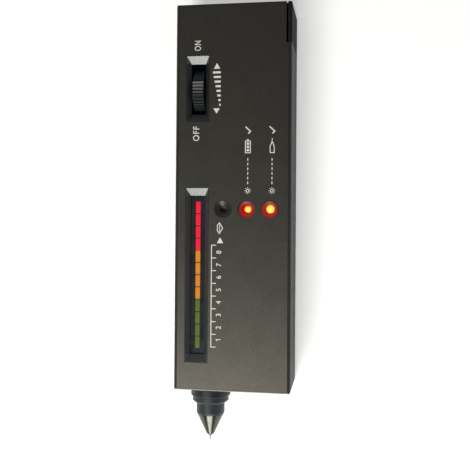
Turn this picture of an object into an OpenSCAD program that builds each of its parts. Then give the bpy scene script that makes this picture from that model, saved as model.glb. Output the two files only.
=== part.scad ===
// Gemstone tester pen: a sprung probe, a bar of twelve lights, two lamps, a sound hole and a
// thumbwheel for volume and power, in a two-part moulded case with a sliding battery cover.
// The pen lies on its back: +Z is the front panel's normal, +Y points to the battery end
// and the probe points to -Y. All sizes are in millimetres.

/* [Body] */
// Width of the case
body_w = 40.4; // [39.8:0.1:48]
// Length of the case without the probe
body_l = 133.6; // [130:0.1:150]
// Thickness of the case from the back to the front panel
body_t = 23; // [22.8:0.1:27]
// Thickness of the moulded walls
wall = 1.6; // [1.3:0.05:1.7]
// Radius of the four long edges
edge_r = 1; // [0.8:0.1:1.6]
// Radius of the upright corners
corner_r = 0.7; // [0.6:0.1:1.5]
// Radius of the edges across both ends
end_r = 0.6; // [0.4:0.1:0.8]
// Length of the bevel along the front edge at the probe end
nose_bevel = 0.3; // [0.2:0.05:0.6]
// Depth of the shadow groove along the parting line
seam_d = 0.25; // [0.15:0.05:0.4]
// Height of the shadow groove along the parting line
seam_h = 0.4; // [0.2:0.05:0.6]
// Height of the tongue that lines up the two case halves
tongue_h = 0.8; // [0.5:0.1:1.2]
// Thickness of the tongue
tongue_t = 0.7; // [0.5:0.05:0.8]

/* [Face plate] */
// Thickness of the metal face plate
plate_t = 0.6; // [0.4:0.05:0.8]
// Width of the case rim left at each end of the plate
plate_rim = 0.4; // [0.4:0.05:1.5]
// Width of the moulded lip round each opening in the plate
lip_w = 0.1; // [0.1:0.05:0.5]

/* [Windows] */
// Distance of the windows' centre line from the left side
window_inset = 7.8; // [7.4:0.1:7.9]
// Width of both bevelled windows
window_w = 7.8; // [7:0.1:8.6]
// Length of the wheel's window
wheel_window_l = 22.6; // [20:0.1:25]
// Length of the light bar's window
bar_window_l = 60; // [58:0.1:62]
// Width of the bevels along the sides of a window
bevel_side = 1.4; // [1:0.1:1.6]
// Width of the bevels at the ends of a window
bevel_end = 2.5; // [2:0.1:3]
// Depth of the bevels
bevel_depth = 1.8; // [1.4:0.1:2]

/* [Light bar] */
// Distance of the light bar's centre from the probe end
bar_from_nose = 39.7; // [39:0.1:42]
// Number of lights of each colour
lights_per_colour = 4; // [2:1:4]
// Spacing of the lights
light_pitch = 4.27; // [4:0.01:4.5]
// Gap between two lights
light_gap = 0.3; // [0.2:0.05:0.6]
// Width of a light
light_w = 1.6; // [1.4:0.1:2.2]
// Height of the holder that carries the lights
holder_h = 6.6; // [6:0.1:7.5]
// Width by which the holder laps under the window's edge
holder_lap = 0.8; // [0.5:0.1:1]

/* [Lamps] */
// Distance of the row of lamps from the probe end
lamp_from_nose = 62.55; // [60:0.05:64]
// Distance of the sound hole from the windows' centre line
sound_offset = 9.1; // [9:0.05:9.6]
// Spacing of the sound hole and the two lamps
lamp_pitch = 8.1; // [7.8:0.1:8.6]
// Diameter of the countersunk holes at the front
cone_d = 5.6; // [5:0.1:6.4]
// Diameter of the countersunk holes round the lamps
cone_in_d = 3.4; // [3.3:0.05:3.8]
// Diameter of the sound hole at the inside
sound_d = 2.4; // [2:0.1:3]
// Diameter of a lamp
lamp_d = 3; // [2.6:0.1:3]
// Depth of a lamp's tip below the front panel
lamp_sink = 1.2; // [0.8:0.1:1.6]
// Diameter of the buzzer
buzzer_d = 9.2; // [8:0.1:9.4]

/* [Volume wheel] */
// Distance of the wheel's axle from the battery end
wheel_from_end = 29.4; // [28:0.1:31]
// Diameter of the wheel over its ribs
wheel_d = 18; // [17:0.1:19]
// Width of the wheel
wheel_w = 3.7; // [3.2:0.1:4]
// Height of the wheel above the front panel
wheel_proud = 0.2; // [0:0.05:0.6]
// Number of ribs on the rim
wheel_ribs = 50; // [36:1:60]
// Number of ribs left out on the plain stretch of the rim
plain_ribs = 10; // [0:1:16]
// Height of a rib
rib_h = 0.5; // [0.2:0.05:0.6]
// Diameter of the axle in the potentiometer
axle_d = 3; // [2.5:0.1:3.5]
// Diameter of the axle's far stub
stub_d = 2.4; // [2:0.1:2.8]
// Diameter of the potentiometer
pot_d = 12; // [10:0.1:12.5]
// Thickness of the potentiometer
pot_t = 2.4; // [2:0.05:2.6]
// Thickness of the small board behind the potentiometer
pot_board_t = 1; // [0.8:0.05:1.2]

/* [Probe] */
// Distance of the probe's axis from the left side
probe_inset = 10.95; // [10:0.05:12]
// Diameter of the collar on the case's end
collar_d = 14.1; // [13.6:0.1:16]
// Length of the collar outside the case
collar_l = 4.2; // [3.5:0.1:5]
// Diameter of the neck that the case halves clamp
neck_d = 11.2; // [10.6:0.1:12]
// Diameter of the sleeve's ring
ring_d = 12.9; // [12:0.1:13.6]
// Length of the ring
ring_l = 1.4; // [0.6:0.1:2]
// Length of the slope below the ring
ring_slope_l = 1; // [1:0.1:2]
// Diameter of the sleeve
sleeve_d = 10.06; // [9.6:0.02:10.4]
// Length of the sleeve's straight part
sleeve_l = 3.3; // [2:0.1:4]
// Length of the sleeve's taper
sleeve_taper_l = 1.65; // [0.6:0.05:2.5]
// Diameter of the cone where it leaves the sleeve
cone_base_d = 8.5; // [7.8:0.05:9.6]
// Diameter of the cone where its blunt end begins
cone_tip_d = 2.8; // [1.7:0.1:3]
// Diameter of the cone's end face
cone_end_d = 1.3; // [1.2:0.1:1.6]
// Length of the cone's blunt end
cone_end_l = 0.7; // [0.3:0.05:1]
// Length of the cone
cone_l = 6.85; // [6:0.05:8]
// Diameter of the needle
needle_d = 0.7; // [0.5:0.05:0.9]
// Length of the needle outside the cone
needle_out = 1.9; // [1.7:0.1:2.5]
// Travel of the needle when it is pressed
needle_travel = 1.5; // [1:0.1:1.6]
// Number of turns of the probe's spring
spring_turns = 8; // [6:1:9]
// Wire diameter of the probe's spring
spring_wire = 0.36; // [0.3:0.02:0.4]

/* [Battery] */
// Width of the battery
battery_w = 26.5; // [25.5:0.1:26.7]
// Length of the battery without its terminals
battery_l = 45.6; // [44:0.1:47]
// Thickness of the battery
battery_t = 17.5; // [15.5:0.1:17.6]
// Height of the battery's terminals
terminal_h = 2.9; // [2.5:0.1:3.2]
// Distance between the battery's terminals
terminal_pitch = 12.7; // [12:0.1:13]
// Thickness of the snap connector
snap_t = 4.4; // [4:0.1:5]
// Room beside the battery
bay_gap = 0.4; // [0.3:0.05:0.5]
// Thickness of the walls round the battery bay
bay_wall = 1.2; // [1:0.05:1.3]
// Length of the cover's flange on the right side
flange_l = 14.1; // [10:0.1:18]
// Thickness of the cover's flange
flange_t = 1.4; // [1.2:0.05:1.6]
// Width of the joint between the flange and the face plate
flange_joint = 0.6; // [0.3:0.05:0.8]
// Thickness of the cover's runners
runner_t = 1; // [0.8:0.05:1.1]
// Reach of the runners into their grooves
runner_over = 0.7; // [0.4:0.05:0.75]
// Number of grip grooves on the cover
grip_grooves = 6; // [3:1:9]

/* [Circuit board] */
// Thickness of the circuit board
board_t = 1.6; // [1:0.1:2]
// Room between the circuit board and the side walls
board_gap = 0.9; // [0.5:0.1:2]
// Diameter of the posts that carry the board
post_d = 4.4; // [4:0.1:5]
// Diameter of the board screws
board_screw_d = 1.6; // [1.4:0.1:1.8]

/* [Case screws] */
// Diameter of the case screws
screw_d = 2.2; // [2:0.1:2.4]
// Length of the case screws below the head
screw_l = 9; // [8:0.5:10]
// Diameter of the case screws' heads
screw_head_d = 4; // [3.6:0.1:4.2]
// Height of the case screws' heads
screw_head_h = 1.6; // [1.2:0.1:2]
// Diameter of the screw bosses
boss_d = 5.4; // [5.2:0.1:5.8]

/* [Clearances] */
// Gap round the face plate
plate_gap = 0.1; // [0.05:0.01:0.15]
// Gap round the battery cover
cover_gap = 0.15; // [0.1:0.01:0.2]
// Gap between pieces that are pushed or screwed together
seat_gap = 0.05; // [0.03:0.01:0.1]
// Gap between pieces that stand side by side
side_gap = 0.2; // [0.1:0.05:0.3]
// Radial gap of the wheel's axle in its bearings
axle_gap = 0.05; // [0.03:0.01:0.1]
// Gap between the needle's parts and the cone round them
probe_gap = 0.3; // [0.25:0.01:0.35]

/* [Hidden] */
$fn = 64;
CUT = 1;
COLOURS = ["red", "amber", "green"];

// Case planes
half_w = body_w / 2;
z_split = body_t / 2;
front_in = body_t - plate_t - wall;
in_x = half_w - wall;
window_x = window_inset - half_w;
lamp_x = window_x + sound_offset;

// Stations along the probe, measured outward from the case's end
s_ring = collar_l;
s_slope = s_ring + ring_l;
s_sleeve = s_slope + ring_slope_l;
s_taper = s_sleeve + sleeve_l;
s_cone = s_taper + sleeve_taper_l;
s_tip = s_cone + cone_l;
probe_reach = s_tip + needle_out;
probe_x = probe_inset - half_w;

// Ends of the case along Y, so that the whole pen is centred
y_nose = (probe_reach - body_l) / 2;
y_end = y_nose + body_l;
y_mid = (y_nose + y_end) / 2;
in_y0 = y_nose + wall;
in_y1 = y_end - wall;
bar_y = y_nose + bar_from_nose;
lamp_y = y_nose + lamp_from_nose;
wheel_y = y_end - wheel_from_end;

// Battery bay on the right, from its floor opening to its two inner walls
stud_d = 5.6;
socket_d = 8.4;
terminal_gap = 0.3;
lead_room = 1.3;
strap_inset = 0.25;
strap_h = 12;
battery_y1 = in_y1 - bay_gap;
battery_y0 = battery_y1 - battery_l;
battery_x = in_x - bay_gap - battery_w / 2;
battery_z0 = wall + runner_t + bay_gap;
bay_x = in_x - 2 * bay_gap - battery_w;
bay_y = battery_y0 - terminal_gap - snap_t - lead_room;
flange_x = half_w - flange_t;
plate_x = half_w - edge_r;
grip_from_end = 16;

// Wheel, potentiometer and its small board, side by side from the bay's wall to the left wall
wheel_z = body_t + wheel_proud - wheel_d / 2;
pot_x1 = window_x - wheel_w / 2 - side_gap;
pot_x0 = pot_x1 - pot_t;
pot_board_l = 16;
pot_board_z1 = front_in - side_gap;
guide_l = 2.4;
guide_h = 8;
guide_lip = 0.8;
rim_t = 3;

// Light bar and circuit board
light_count = len(COLOURS) * lights_per_colour;
holder_w = window_w - 2 * bevel_side + 2 * holder_lap;
holder_l = bar_window_l - 2 * bevel_end + 2 * holder_lap;
board_top = front_in - seat_gap - holder_h;
board_bottom = board_top - board_t;
board_w = 2 * (in_x - board_gap);
board_margin = 0.5;
board_y0 = bar_y - holder_l / 2 - board_margin;
board_y1 = bar_y + holder_l / 2 + board_margin;
post_inset = 4.9;
post_x = in_x - post_inset;
post_first = 9;
post_second = 38;
post_ys = [board_y0 + post_first, board_y0 + post_second];
board_screw_l = 5.4;
board_head_d = 3.2;
board_head_h = 1.2;
lamp_flange_d = lamp_d + 0.8;
lamp_flange_h = 1;
lamp_body_h = 5;
lamp_tip_z = body_t - lamp_sink;
lamp_base_z = lamp_tip_z - lamp_body_h;
spacer_d = 4.6;
pin_w = 0.5;
pin_pitch = 1.27;
header_size = [6, 5, 3.8];
header_inset = 4;
header_y = board_y0 + header_inset;
chip_offset = 5.75;
driver_offset = 31;
amplifier_offset = 12;
resistor_shift = 5.5;
resistor_start = 2;
trimmer_shift = 7.5;
chip_x = lamp_x + chip_offset;
driver_y = board_y0 + driver_offset;
amplifier_y = board_y0 + amplifier_offset;
chip_w = 6.4;
chip_h = 3.2;
chip_lift = 0.8;
chip_leg_pitch = 2.54;
chip_leg_t = 0.5;
chip_leg_w = 1;
chip_leg_h = 1.6;
chip_mark_d = 1.8;
chip_mark_depth = 0.4;
can_d = 5;
can_h = 5.6;
can_pitch = 6.5;
can_dish = 0.3;
can_rim = 0.5;

// Case screws: two beside the probe, one before the battery bay and one at the battery end
boss_x = in_x - boss_d / 2 - side_gap;
head_seat = 4;
head_z = z_split - head_seat;
screw_places = [
    [boss_x, in_y0 + boss_d / 2 + side_gap],
    [-boss_x, board_y0 - boss_d / 2 - side_gap],
    [boss_x, board_y1 + boss_d / 2 + side_gap],
    [-boss_x, in_y1 - boss_d / 2 - side_gap]
];

// Gap at a stop or at the end of a lead
end_gap = 0.1;

// Inside of the probe
flange_inner_d = neck_d + 2;
flange_inner_t = 1.6;
thread_d = 8;
sleeve_tail = 2;
bore_d = 6;
tip_tail = 4;
cavity_d = 4;
cavity_depth = 2.8;
cavity_end = s_cone + cavity_depth;
seat_t = 2.2;
seat_front = s_ring - 1;
seat_bore_d = 1.8;
plunger_d = cavity_d - 2 * probe_gap;
plunger_l = 2.9;
plunger_front = cavity_end - seat_gap;
plunger_back = plunger_front - plunger_l;
plunger_tail_d = 1.4;
plunger_tail_l = plunger_back - seat_front - needle_travel - end_gap;
needle_grip = 2.4;
needle_root = plunger_front - needle_grip;
spring_d = plunger_tail_d + 2 * probe_gap + spring_wire;

// Leads, from piece to piece
lead_d = 0.8;
lead_sides = 8;
lead_steps = 5;
lead_z = board_bottom - lead_d;
lead_end_z = board_bottom - end_gap;
pot_lead_rise = 1.1;
pot_lead_spread = 1.6;
battery_lead_pitch = 2.4;
probe_lead_pitch = 1.4;
battery_lead_bend = 4;
pot_lead_start = 7;
pot_lead_bend = 11;
pot_lead_turn = 9;
function battery_lead_route(x) = [
    [x, bay_y + 1, lead_z],
    [x, bay_y - 2.5, lead_z - 1.5],
    [x, board_y1 + battery_lead_bend, lead_z - 2.5],
    [x, board_y1 - 2.5, lead_z - 2],
    [x, board_y1 - 3.5, lead_z - 1],
    [x, board_y1 - 3.5, lead_end_z]
];
function pot_lead_route(k) =
    let (x0 = pot_x0 + side_gap + lead_d / 2)
    let (x1 = x0 + 2 + k * pot_lead_spread)
    let (z = lead_z - 1 + k * pot_lead_rise)
    [
        [x0, wheel_y - pot_lead_start, z],
        [x0, wheel_y - pot_lead_bend, z],
        [x0 + 0.6, board_y1 + pot_lead_turn, z - 1],
        [x1, board_y1, lead_z - 2],
        [x1, board_y1 - 1.5, lead_z - 1],
        [x1, board_y1 - 1.5, lead_end_z]
    ];
function probe_lead_route(x) = [
    [x, y_nose - seat_front + seat_t + end_gap, z_split],
    [x, y_nose + 4, z_split],
    [x, board_y0 - 1, lead_z - 1],
    [x, header_y - header_size[1] / 2 - end_gap, lead_z - 1.2]
];

function light_name(i) =
    str("light_", COLOURS[floor(i / lights_per_colour)], "_", i % lights_per_colour + 1);

// Shared shapes

// Box between two corners
module box_between(a, b) {
    translate(a) cube(b - a);
}

// Rectangle with true round corners, centred
module rounded_rect(w, l, r) {
    square([w - 2 * r, l], center = true);
    square([w, l - 2 * r], center = true);
    for (sx = [-1, 1], sy = [-1, 1])
        translate([sx * (w / 2 - r), sy * (l / 2 - r)]) circle(r);
}

// Whole outer form of the closed case
module outer_form() {
    intersection() {
        translate([0, y_end, z_split])
            rotate([90, 0, 0]) linear_extrude(body_l) rounded_rect(body_w, body_t, edge_r);
        translate([0, y_mid, 0]) linear_extrude(body_t) rounded_rect(body_w, body_l, corner_r);
        translate([-half_w, y_mid, z_split])
            rotate([90, 0, 90]) linear_extrude(body_w) side_profile();
    }
}

// Outline of the case seen from its side, with a bevel where the front meets the probe end
module side_profile() {
    fall = bevel_depth / bevel_end;
    x = -body_l / 2;
    y = body_t / 2;
    difference() {
        union() {
            rounded_rect(body_l, body_t, end_r);
            translate([x, 0]) square([2 * end_r, y]);
        }
        polygon([
            [x - CUT, y - (nose_bevel + CUT) * fall], [x + nose_bevel + CUT, y + CUT * fall],
            [x - CUT, y + CUT * fall]
        ]);
    }
}

// Room inside the closed case
module cavity() {
    box_between([-in_x, in_y0, wall], [in_x, in_y1, front_in]);
}

// Frame that follows the case's walls, between two outlines that lie inside its outer face
module wall_ring(outer_inset, inner_inset, z0, z1) {
    translate([0, y_mid, z0]) linear_extrude(z1 - z0) difference() {
        square([body_w - 2 * outer_inset, body_l - 2 * outer_inset], center = true);
        square([body_w - 2 * inner_inset, body_l - 2 * inner_inset], center = true);
    }
}

// Places its children on the probe's axis, with their +Z pointing out of the case
module on_probe_axis() {
    translate([probe_x, y_nose, z_split]) rotate([90, 0, 0]) children();
}

// Places its children on the wheel's axis, with their +Z along +X
module on_wheel_axis() {
    translate([0, wheel_y, wheel_z]) rotate([90, 0, 90]) children();
}

// Tube swept along points, closed at both ends, its rings turned by the least amount
function unit(v) = v / norm(v);
function spline(a, b, c, d, t) =
    0.5 * (2 * b + (c - a) * t + (2 * a - 5 * b + 4 * c - d) * t * t
        + (3 * b - a - 3 * c + d) * t * t * t);
function smooth(p, steps) = [
    for (i = [0 : len(p) - 2], k = [0 : steps - 1])
        spline(p[max(i - 1, 0)], p[i], p[i + 1], p[min(i + 2, len(p) - 1)], k / steps),
    p[len(p) - 1]
];
function heading(p, i) = unit(p[min(i + 1, len(p) - 1)] - p[max(i - 1, 0)]);
function carried(side, direction) = unit(side - (side * direction) * direction);
function sides_along(p, first, i = 0) =
    i == len(p) ? [] : let (s = carried(first, heading(p, i))) concat([s], sides_along(p, s, i + 1));

module tube(p, d, n, first) {
    across = sides_along(p, first);
    points = [
        for (i = [0 : len(p) - 1], k = [0 : n - 1])
            p[i] + d / 2 * (cos(360 * k / n) * across[i]
                + sin(360 * k / n) * cross(heading(p, i), across[i]))
    ];
    last = (len(p) - 1) * n;
    polyhedron(points, concat(
        [[for (k = [n - 1 : -1 : 0]) k]],
        [[for (k = [0 : n - 1]) last + k]],
        [for (i = [0 : len(p) - 2], k = [0 : n - 1])
            [i * n + k, i * n + (k + 1) % n, (i + 1) * n + (k + 1) % n]],
        [for (i = [0 : len(p) - 2], k = [0 : n - 1])
            [i * n + k, (i + 1) * n + (k + 1) % n, (i + 1) * n + k]]
    ));
}

// Insulated lead along a route
module lead(route) {
    tube(smooth(route, lead_steps), lead_d, lead_sides, [1, 0, 0]);
}

// Case

// Bevelled recess with mitred corners and the straight slot below it
module window_cut(l) {
    slot = [window_w - 2 * bevel_side, l - 2 * bevel_end];
    top = body_t + CUT;
    deep = body_t - bevel_depth;
    grow = 1 + CUT / bevel_depth;
    intersection() {
        translate([0, l / 2 + CUT * bevel_end, 0]) rotate([90, 0, 0])
            linear_extrude(l + 2 * CUT * bevel_end) polygon([
                [-slot[0] / 2, deep], [slot[0] / 2, deep],
                [slot[0] / 2 + bevel_side * grow, top], [-slot[0] / 2 - bevel_side * grow, top]
            ]);
        translate([-window_w, 0, 0]) rotate([90, 0, 90])
            linear_extrude(2 * window_w) polygon([
                [-slot[1] / 2, deep], [slot[1] / 2, deep],
                [slot[1] / 2 + bevel_end * grow, top], [-slot[1] / 2 - bevel_end * grow, top]
            ]);
    }
    translate([-slot[0] / 2, -slot[1] / 2, front_in - CUT]) cube([slot[0], slot[1], body_t - front_in]);
}

// Outlines of the moulded lips that stand in the plate's openings
module lip_outlines(extra) {
    grow = 2 * (lip_w + extra);
    translate([window_x, wheel_y]) square([window_w + grow, wheel_window_l + grow], center = true);
    translate([window_x, bar_y]) square([window_w + grow, bar_window_l + grow], center = true);
    for (i = [0 : 2])
        translate([lamp_x + i * lamp_pitch, lamp_y]) circle(d = cone_d + grow);
}

// Seat or plate, with its outline grown by a gap and cut back beside the cover's flange
module plate_shape(extra, lip_extra, z1) {
    w = 2 * (plate_x - plate_gap + extra);
    l = body_l - 2 * (plate_rim + plate_gap - extra);
    translate([0, 0, body_t - plate_t]) linear_extrude(z1 - body_t + plate_t) difference() {
        translate([0, y_mid]) square([w, l], center = true);
        lip_outlines(lip_extra);
        translate([flange_x - flange_joint + extra, y_end - flange_l - plate_gap + extra])
            square([half_w, flange_l + CUT]);
    }
}

// Room that the battery cover takes out of both case halves
module cover_room() {
    flange_y = y_end - flange_l;
    box_between([bay_x, bay_y, -CUT], [in_x, y_end + CUT, wall + CUT / 2]);
    box_between([bay_x, in_y1 - CUT / 2, -CUT], [half_w + CUT, y_end + CUT, front_in]);
    box_between([min(in_x, flange_x - cover_gap) - CUT / 2, flange_y, -CUT],
        [half_w + CUT, y_end + CUT, front_in]);
    box_between([flange_x - flange_joint, flange_y, front_in - CUT],
        [half_w + CUT, y_end + CUT, body_t + CUT]);
}

// Grooves in the bay's wall and in the right wall for the cover's runners
module runner_grooves() {
    reach = runner_over + cover_gap;
    top = wall + runner_t + cover_gap;
    box_between([bay_x - reach, bay_y, wall], [bay_x + CUT, y_end + CUT, top]);
    box_between([in_x - CUT, bay_y, wall], [in_x + reach, y_end + CUT, top]);
}

// Hole through the end wall for the collar's neck
module neck_hole() {
    on_probe_axis() translate([0, 0, -wall - CUT])
        cylinder(d = neck_d + 2 * seat_gap, h = wall + 2 * CUT);
}

module front_case() {
    boss_drop = front_in - z_split;
    color("#1B1D20") difference() {
        union() {
            difference() {
                intersection() {
                    outer_form();
                    box_between([-body_w, y_nose - CUT, z_split], [body_w, y_end + CUT, body_t + CUT]);
                }
                cavity();
            }
            for (p = screw_places)
                translate([p[0], p[1], z_split]) cylinder(d = boss_d, h = boss_drop + wall / 2);
            for (y = post_ys)
                translate([post_x, y, board_top]) cylinder(d = post_d, h = front_in - board_top + wall / 2);
        }
        plate_shape(plate_gap, 0, body_t + CUT);
        translate([window_x, wheel_y, 0]) window_cut(wheel_window_l);
        translate([window_x, bar_y, 0]) window_cut(bar_window_l);
        for (i = [0 : 2])
            translate([lamp_x + i * lamp_pitch, lamp_y, front_in - CUT])
                lamp_cone(i == 0 ? sound_d : cone_in_d);
        cover_room();
        wall_ring(wall - tongue_t - seat_gap, wall + seat_gap, z_split - CUT,
            z_split + tongue_h + seat_gap);
        neck_hole();
        for (p = screw_places)
            translate([p[0], p[1], z_split - CUT])
                cylinder(d = screw_d + 2 * seat_gap, h = head_z + screw_l + CUT - z_split + CUT);
        for (y = post_ys)
            translate([post_x, y, board_top - CUT])
                cylinder(d = board_screw_d + 2 * seat_gap, h = board_screw_l - board_t + 2 * CUT);
    }
}

// Countersunk hole with the slope of the windows' end bevels, run on past both faces of the panel
module lamp_cone(bore) {
    fall = bevel_depth / bevel_end;
    depth = (cone_d - bore) / 2 * fall;
    top = CUT + body_t - front_in;
    cylinder(d = bore, h = top);
    translate([0, 0, top - depth]) cylinder(d1 = bore, d2 = cone_d + 2 * CUT / fall, h = depth + CUT);
}

module rear_case() {
    color("#1E2023") difference() {
        union() {
            difference() {
                intersection() {
                    outer_form();
                    box_between([-body_w, y_nose - CUT, -CUT], [body_w, y_end + CUT, z_split]);
                }
                cavity();
            }
            wall_ring(wall - tongue_t, wall, z_split - CUT, z_split + tongue_h);
            bay_walls();
            pot_board_guides();
            for (p = screw_places)
                translate([p[0], p[1], wall / 2]) cylinder(d = boss_d, h = z_split - wall / 2);
        }
        wall_ring(-CUT, seam_d, z_split - seam_h, z_split);
        cover_room();
        runner_grooves();
        neck_hole();
        lead_notch();
        on_wheel_axis() translate([0, 0, bay_x - bay_wall - CUT])
            cylinder(d = stub_d + 2 * axle_gap, h = bay_wall + 2 * CUT);
        for (p = screw_places)
            translate([p[0], p[1], -CUT]) {
                cylinder(d = screw_d + 2 * side_gap, h = z_split + 2 * CUT);
                cylinder(d = screw_head_d + 2 * side_gap, h = head_z + CUT);
            }
    }
}

// Two inner walls that close the battery bay off from the electronics: joined to the rear half's
// own walls below the parting line, and clear of the front half's walls above it
module bay_walls() {
    for (storey = [[wall / 2, z_split, wall / 2], [z_split - CUT, front_in - side_gap, -side_gap]]) {
        box_between([bay_x - bay_wall, bay_y - bay_wall, storey[0]], [bay_x, in_y1 + storey[2], storey[1]]);
        box_between([bay_x - bay_wall, bay_y - bay_wall, storey[0]], [in_x + storey[2], bay_y, storey[1]]);
    }
}

// Opening in the bay's cross wall for the battery's leads
module lead_notch() {
    notch_w = 8;
    notch_h = 5;
    translate([battery_x - notch_w / 2, bay_y - bay_wall - CUT, board_bottom - notch_h])
        cube([notch_w, bay_wall + 2 * CUT, notch_h]);
}

// Slotted posts on the left wall that hold the potentiometer's board by its two edges
module pot_board_guides() {
    x1 = pot_x0 + guide_lip;
    for (side = [-1, 1]) {
        y = wheel_y + side * pot_board_l / 2;
        difference() {
            box_between([-in_x - wall / 2, y - guide_l / 2, wall / 2],
                [x1, y + guide_l / 2, wall + guide_h]);
            box_between([pot_x0 - pot_board_t - seat_gap, y - (side + 1) / 2 * guide_l, wall],
                [pot_x0 + seat_gap, y + (1 - side) / 2 * guide_l, wall + guide_h + CUT]);
        }
    }
}

module face_plate() {
    color("#4F4C46") plate_shape(0, plate_gap, body_t);
}

// Battery cover: back plate, end wall and the flange that wraps the right side to the front
module battery_cover() {
    flange_y = y_end - flange_l + cover_gap;
    x0 = bay_x + cover_gap;
    groove_w = 0.9;
    groove_d = 0.5;
    groove_pitch = 1.8;
    groove_l = 16;
    grip_y = y_end - grip_from_end;
    color("#17181A") difference() {
        union() {
            intersection() {
                outer_form();
                union() {
                    box_between([x0, bay_y + cover_gap, 0], [in_x - cover_gap, y_end, wall]);
                    box_between([x0, flange_y, 0], [half_w, y_end, wall]);
                    box_between([flange_x, flange_y, 0], [half_w, y_end, body_t]);
                    box_between([x0, in_y1, 0], [half_w, y_end, front_in - cover_gap]);
                }
            }
            cover_runner(x0 - runner_over, x0 + 2 * runner_t, in_y1 + wall / 2);
            cover_runner(in_x - cover_gap - 2 * runner_t, in_x - cover_gap + runner_over, flange_y);
        }
        for (i = [0 : grip_grooves - 1])
            translate([battery_x - groove_l / 2, grip_y + i * groove_pitch, -CUT])
                cube([groove_l, groove_w, groove_d + CUT]);
    }
}

// Strip on the cover's inner face that reaches past its edge into a groove of the case
module cover_runner(x0, x1, y1) {
    inner_x0 = max(x0, bay_x + cover_gap);
    inner_x1 = min(x1, in_x - cover_gap);
    box_between([x0, bay_y + cover_gap, wall + cover_gap / 2], [x1, y1, wall + runner_t]);
    box_between([inner_x0, bay_y + cover_gap, wall / 2], [inner_x1, y1, wall + runner_t]);
}

// Foam strip between the runners that steadies the battery
module cover_pad() {
    pad_w = battery_w - 8 * runner_t;
    pad_l = 24;
    pad_inset = 9;
    pad_y = battery_y0 + pad_inset;
    color("#2B2B2B") translate([battery_x - pad_w / 2, pad_y, wall]) cube([pad_w, pad_l, runner_t]);
}

// Light bar and lamps

module light_place(i) {
    translate([window_x, bar_y + ((light_count - 1) / 2 - i) * light_pitch, board_top]) children();
}

// Upright block of one light, grown by a gap
module light_block(extra, h) {
    l = light_pitch - light_gap;
    linear_extrude(h) square([light_w + 2 * extra, l + 2 * extra], center = true);
}

module light_holder() {
    color("#101113") difference() {
        translate([window_x - holder_w / 2, bar_y - holder_l / 2, board_top])
            cube([holder_w, holder_l, holder_h]);
        for (i = [0 : light_count - 1])
            light_place(i) translate([0, 0, -CUT]) light_block(seat_gap, holder_h + 2 * CUT);
    }
}

module bar_light(i) {
    shades = ["#E3183A", "#E08A20", "#5E7A2A"];
    color(shades[floor(i / lights_per_colour)]) light_place(i) light_block(0, front_in - board_top);
}

module lamp_place(i) {
    translate([lamp_x + i * lamp_pitch, lamp_y, 0]) children();
}

// Domed lamp with its flange and two legs that reach the board
module lamp(i) {
    r = lamp_d / 2;
    color("#E8242E") lamp_place(i) {
        rotate_extrude() intersection() {
            union() {
                translate([0, lamp_base_z]) square([lamp_flange_d / 2, lamp_flange_h]);
                translate([0, lamp_base_z]) square([r, lamp_body_h - r]);
                translate([0, lamp_tip_z - r]) circle(r);
            }
            translate([0, lamp_base_z]) square([lamp_flange_d, lamp_body_h]);
        }
        for (side = [-1, 1])
            translate([side * pin_pitch - pin_w / 2, -pin_w / 2, board_top])
                cube([pin_w, pin_w, lamp_base_z - board_top + lamp_flange_h / 2]);
    }
}

module lamp_spacers() {
    leg_room = 2 * (pin_pitch + pin_w);
    color("#D9D4C4") for (i = [1, 2])
        lamp_place(i) translate([0, 0, board_top]) difference() {
            cylinder(d = spacer_d, h = lamp_base_z - board_top);
            translate([0, 0, -CUT]) cylinder(d = leg_room, h = lamp_base_z - board_top + 2 * CUT);
        }
}

module buzzer() {
    h = front_in - board_top - side_gap;
    port_d = 1.4;
    port_depth = 0.5;
    color("#141416") lamp_place(0) translate([0, 0, board_top]) difference() {
        union() {
            cylinder(d = buzzer_d, h = h - 2 * side_gap);
            cylinder(d = cone_in_d + 2, h = h);
        }
        translate([0, 0, h - port_depth]) cylinder(d = port_d, h = h);
    }
}

// Circuit board and what stands on it

module circuit_board() {
    color("#2F6B3A") difference() {
        box_between([-board_w / 2, board_y0, board_bottom], [board_w / 2, board_y1, board_top]);
        for (y = post_ys)
            translate([post_x, y, board_bottom - CUT])
                cylinder(d = board_screw_d + 2 * side_gap, h = board_t + 2 * CUT);
    }
}

// Chip with two rows of legs, standing on the board and lying along Y
module dip_chip(x, y, legs_per_side) {
    l = legs_per_side * chip_leg_pitch;
    top = chip_lift + chip_h;
    translate([x, y, board_top]) {
        difference() {
            translate([-chip_w / 2, -l / 2, chip_lift]) cube([chip_w, l, chip_h]);
            translate([0, l / 2, top - chip_mark_depth]) cylinder(d = chip_mark_d, h = CUT);
        }
        for (side = [-1, 1], k = [0 : legs_per_side - 1])
            translate([side * (chip_w + chip_leg_t) / 2 - chip_leg_t / 2,
                (k - (legs_per_side - 1) / 2) * chip_leg_pitch - chip_leg_w / 2, 0])
                cube([chip_leg_t, chip_leg_w, chip_lift + chip_leg_h]);
    }
}

module driver_chip() {
    color("#202022") dip_chip(chip_x, driver_y, 9);
}

module amplifier_chip() {
    color("#202022") dip_chip(chip_x, amplifier_y, 4);
}

// Upright capacitors in a row between the two posts, each with a dished top
module capacitors() {
    mid_y = (post_ys[0] + post_ys[1]) / 2;
    color("#2A3A6A") for (k = [-1 : 1])
        translate([post_x, mid_y + k * can_pitch, board_top]) difference() {
            cylinder(d = can_d, h = can_h);
            translate([0, 0, can_h - can_dish]) cylinder(d = can_d - 2 * can_rim, h = CUT);
        }
}

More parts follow.
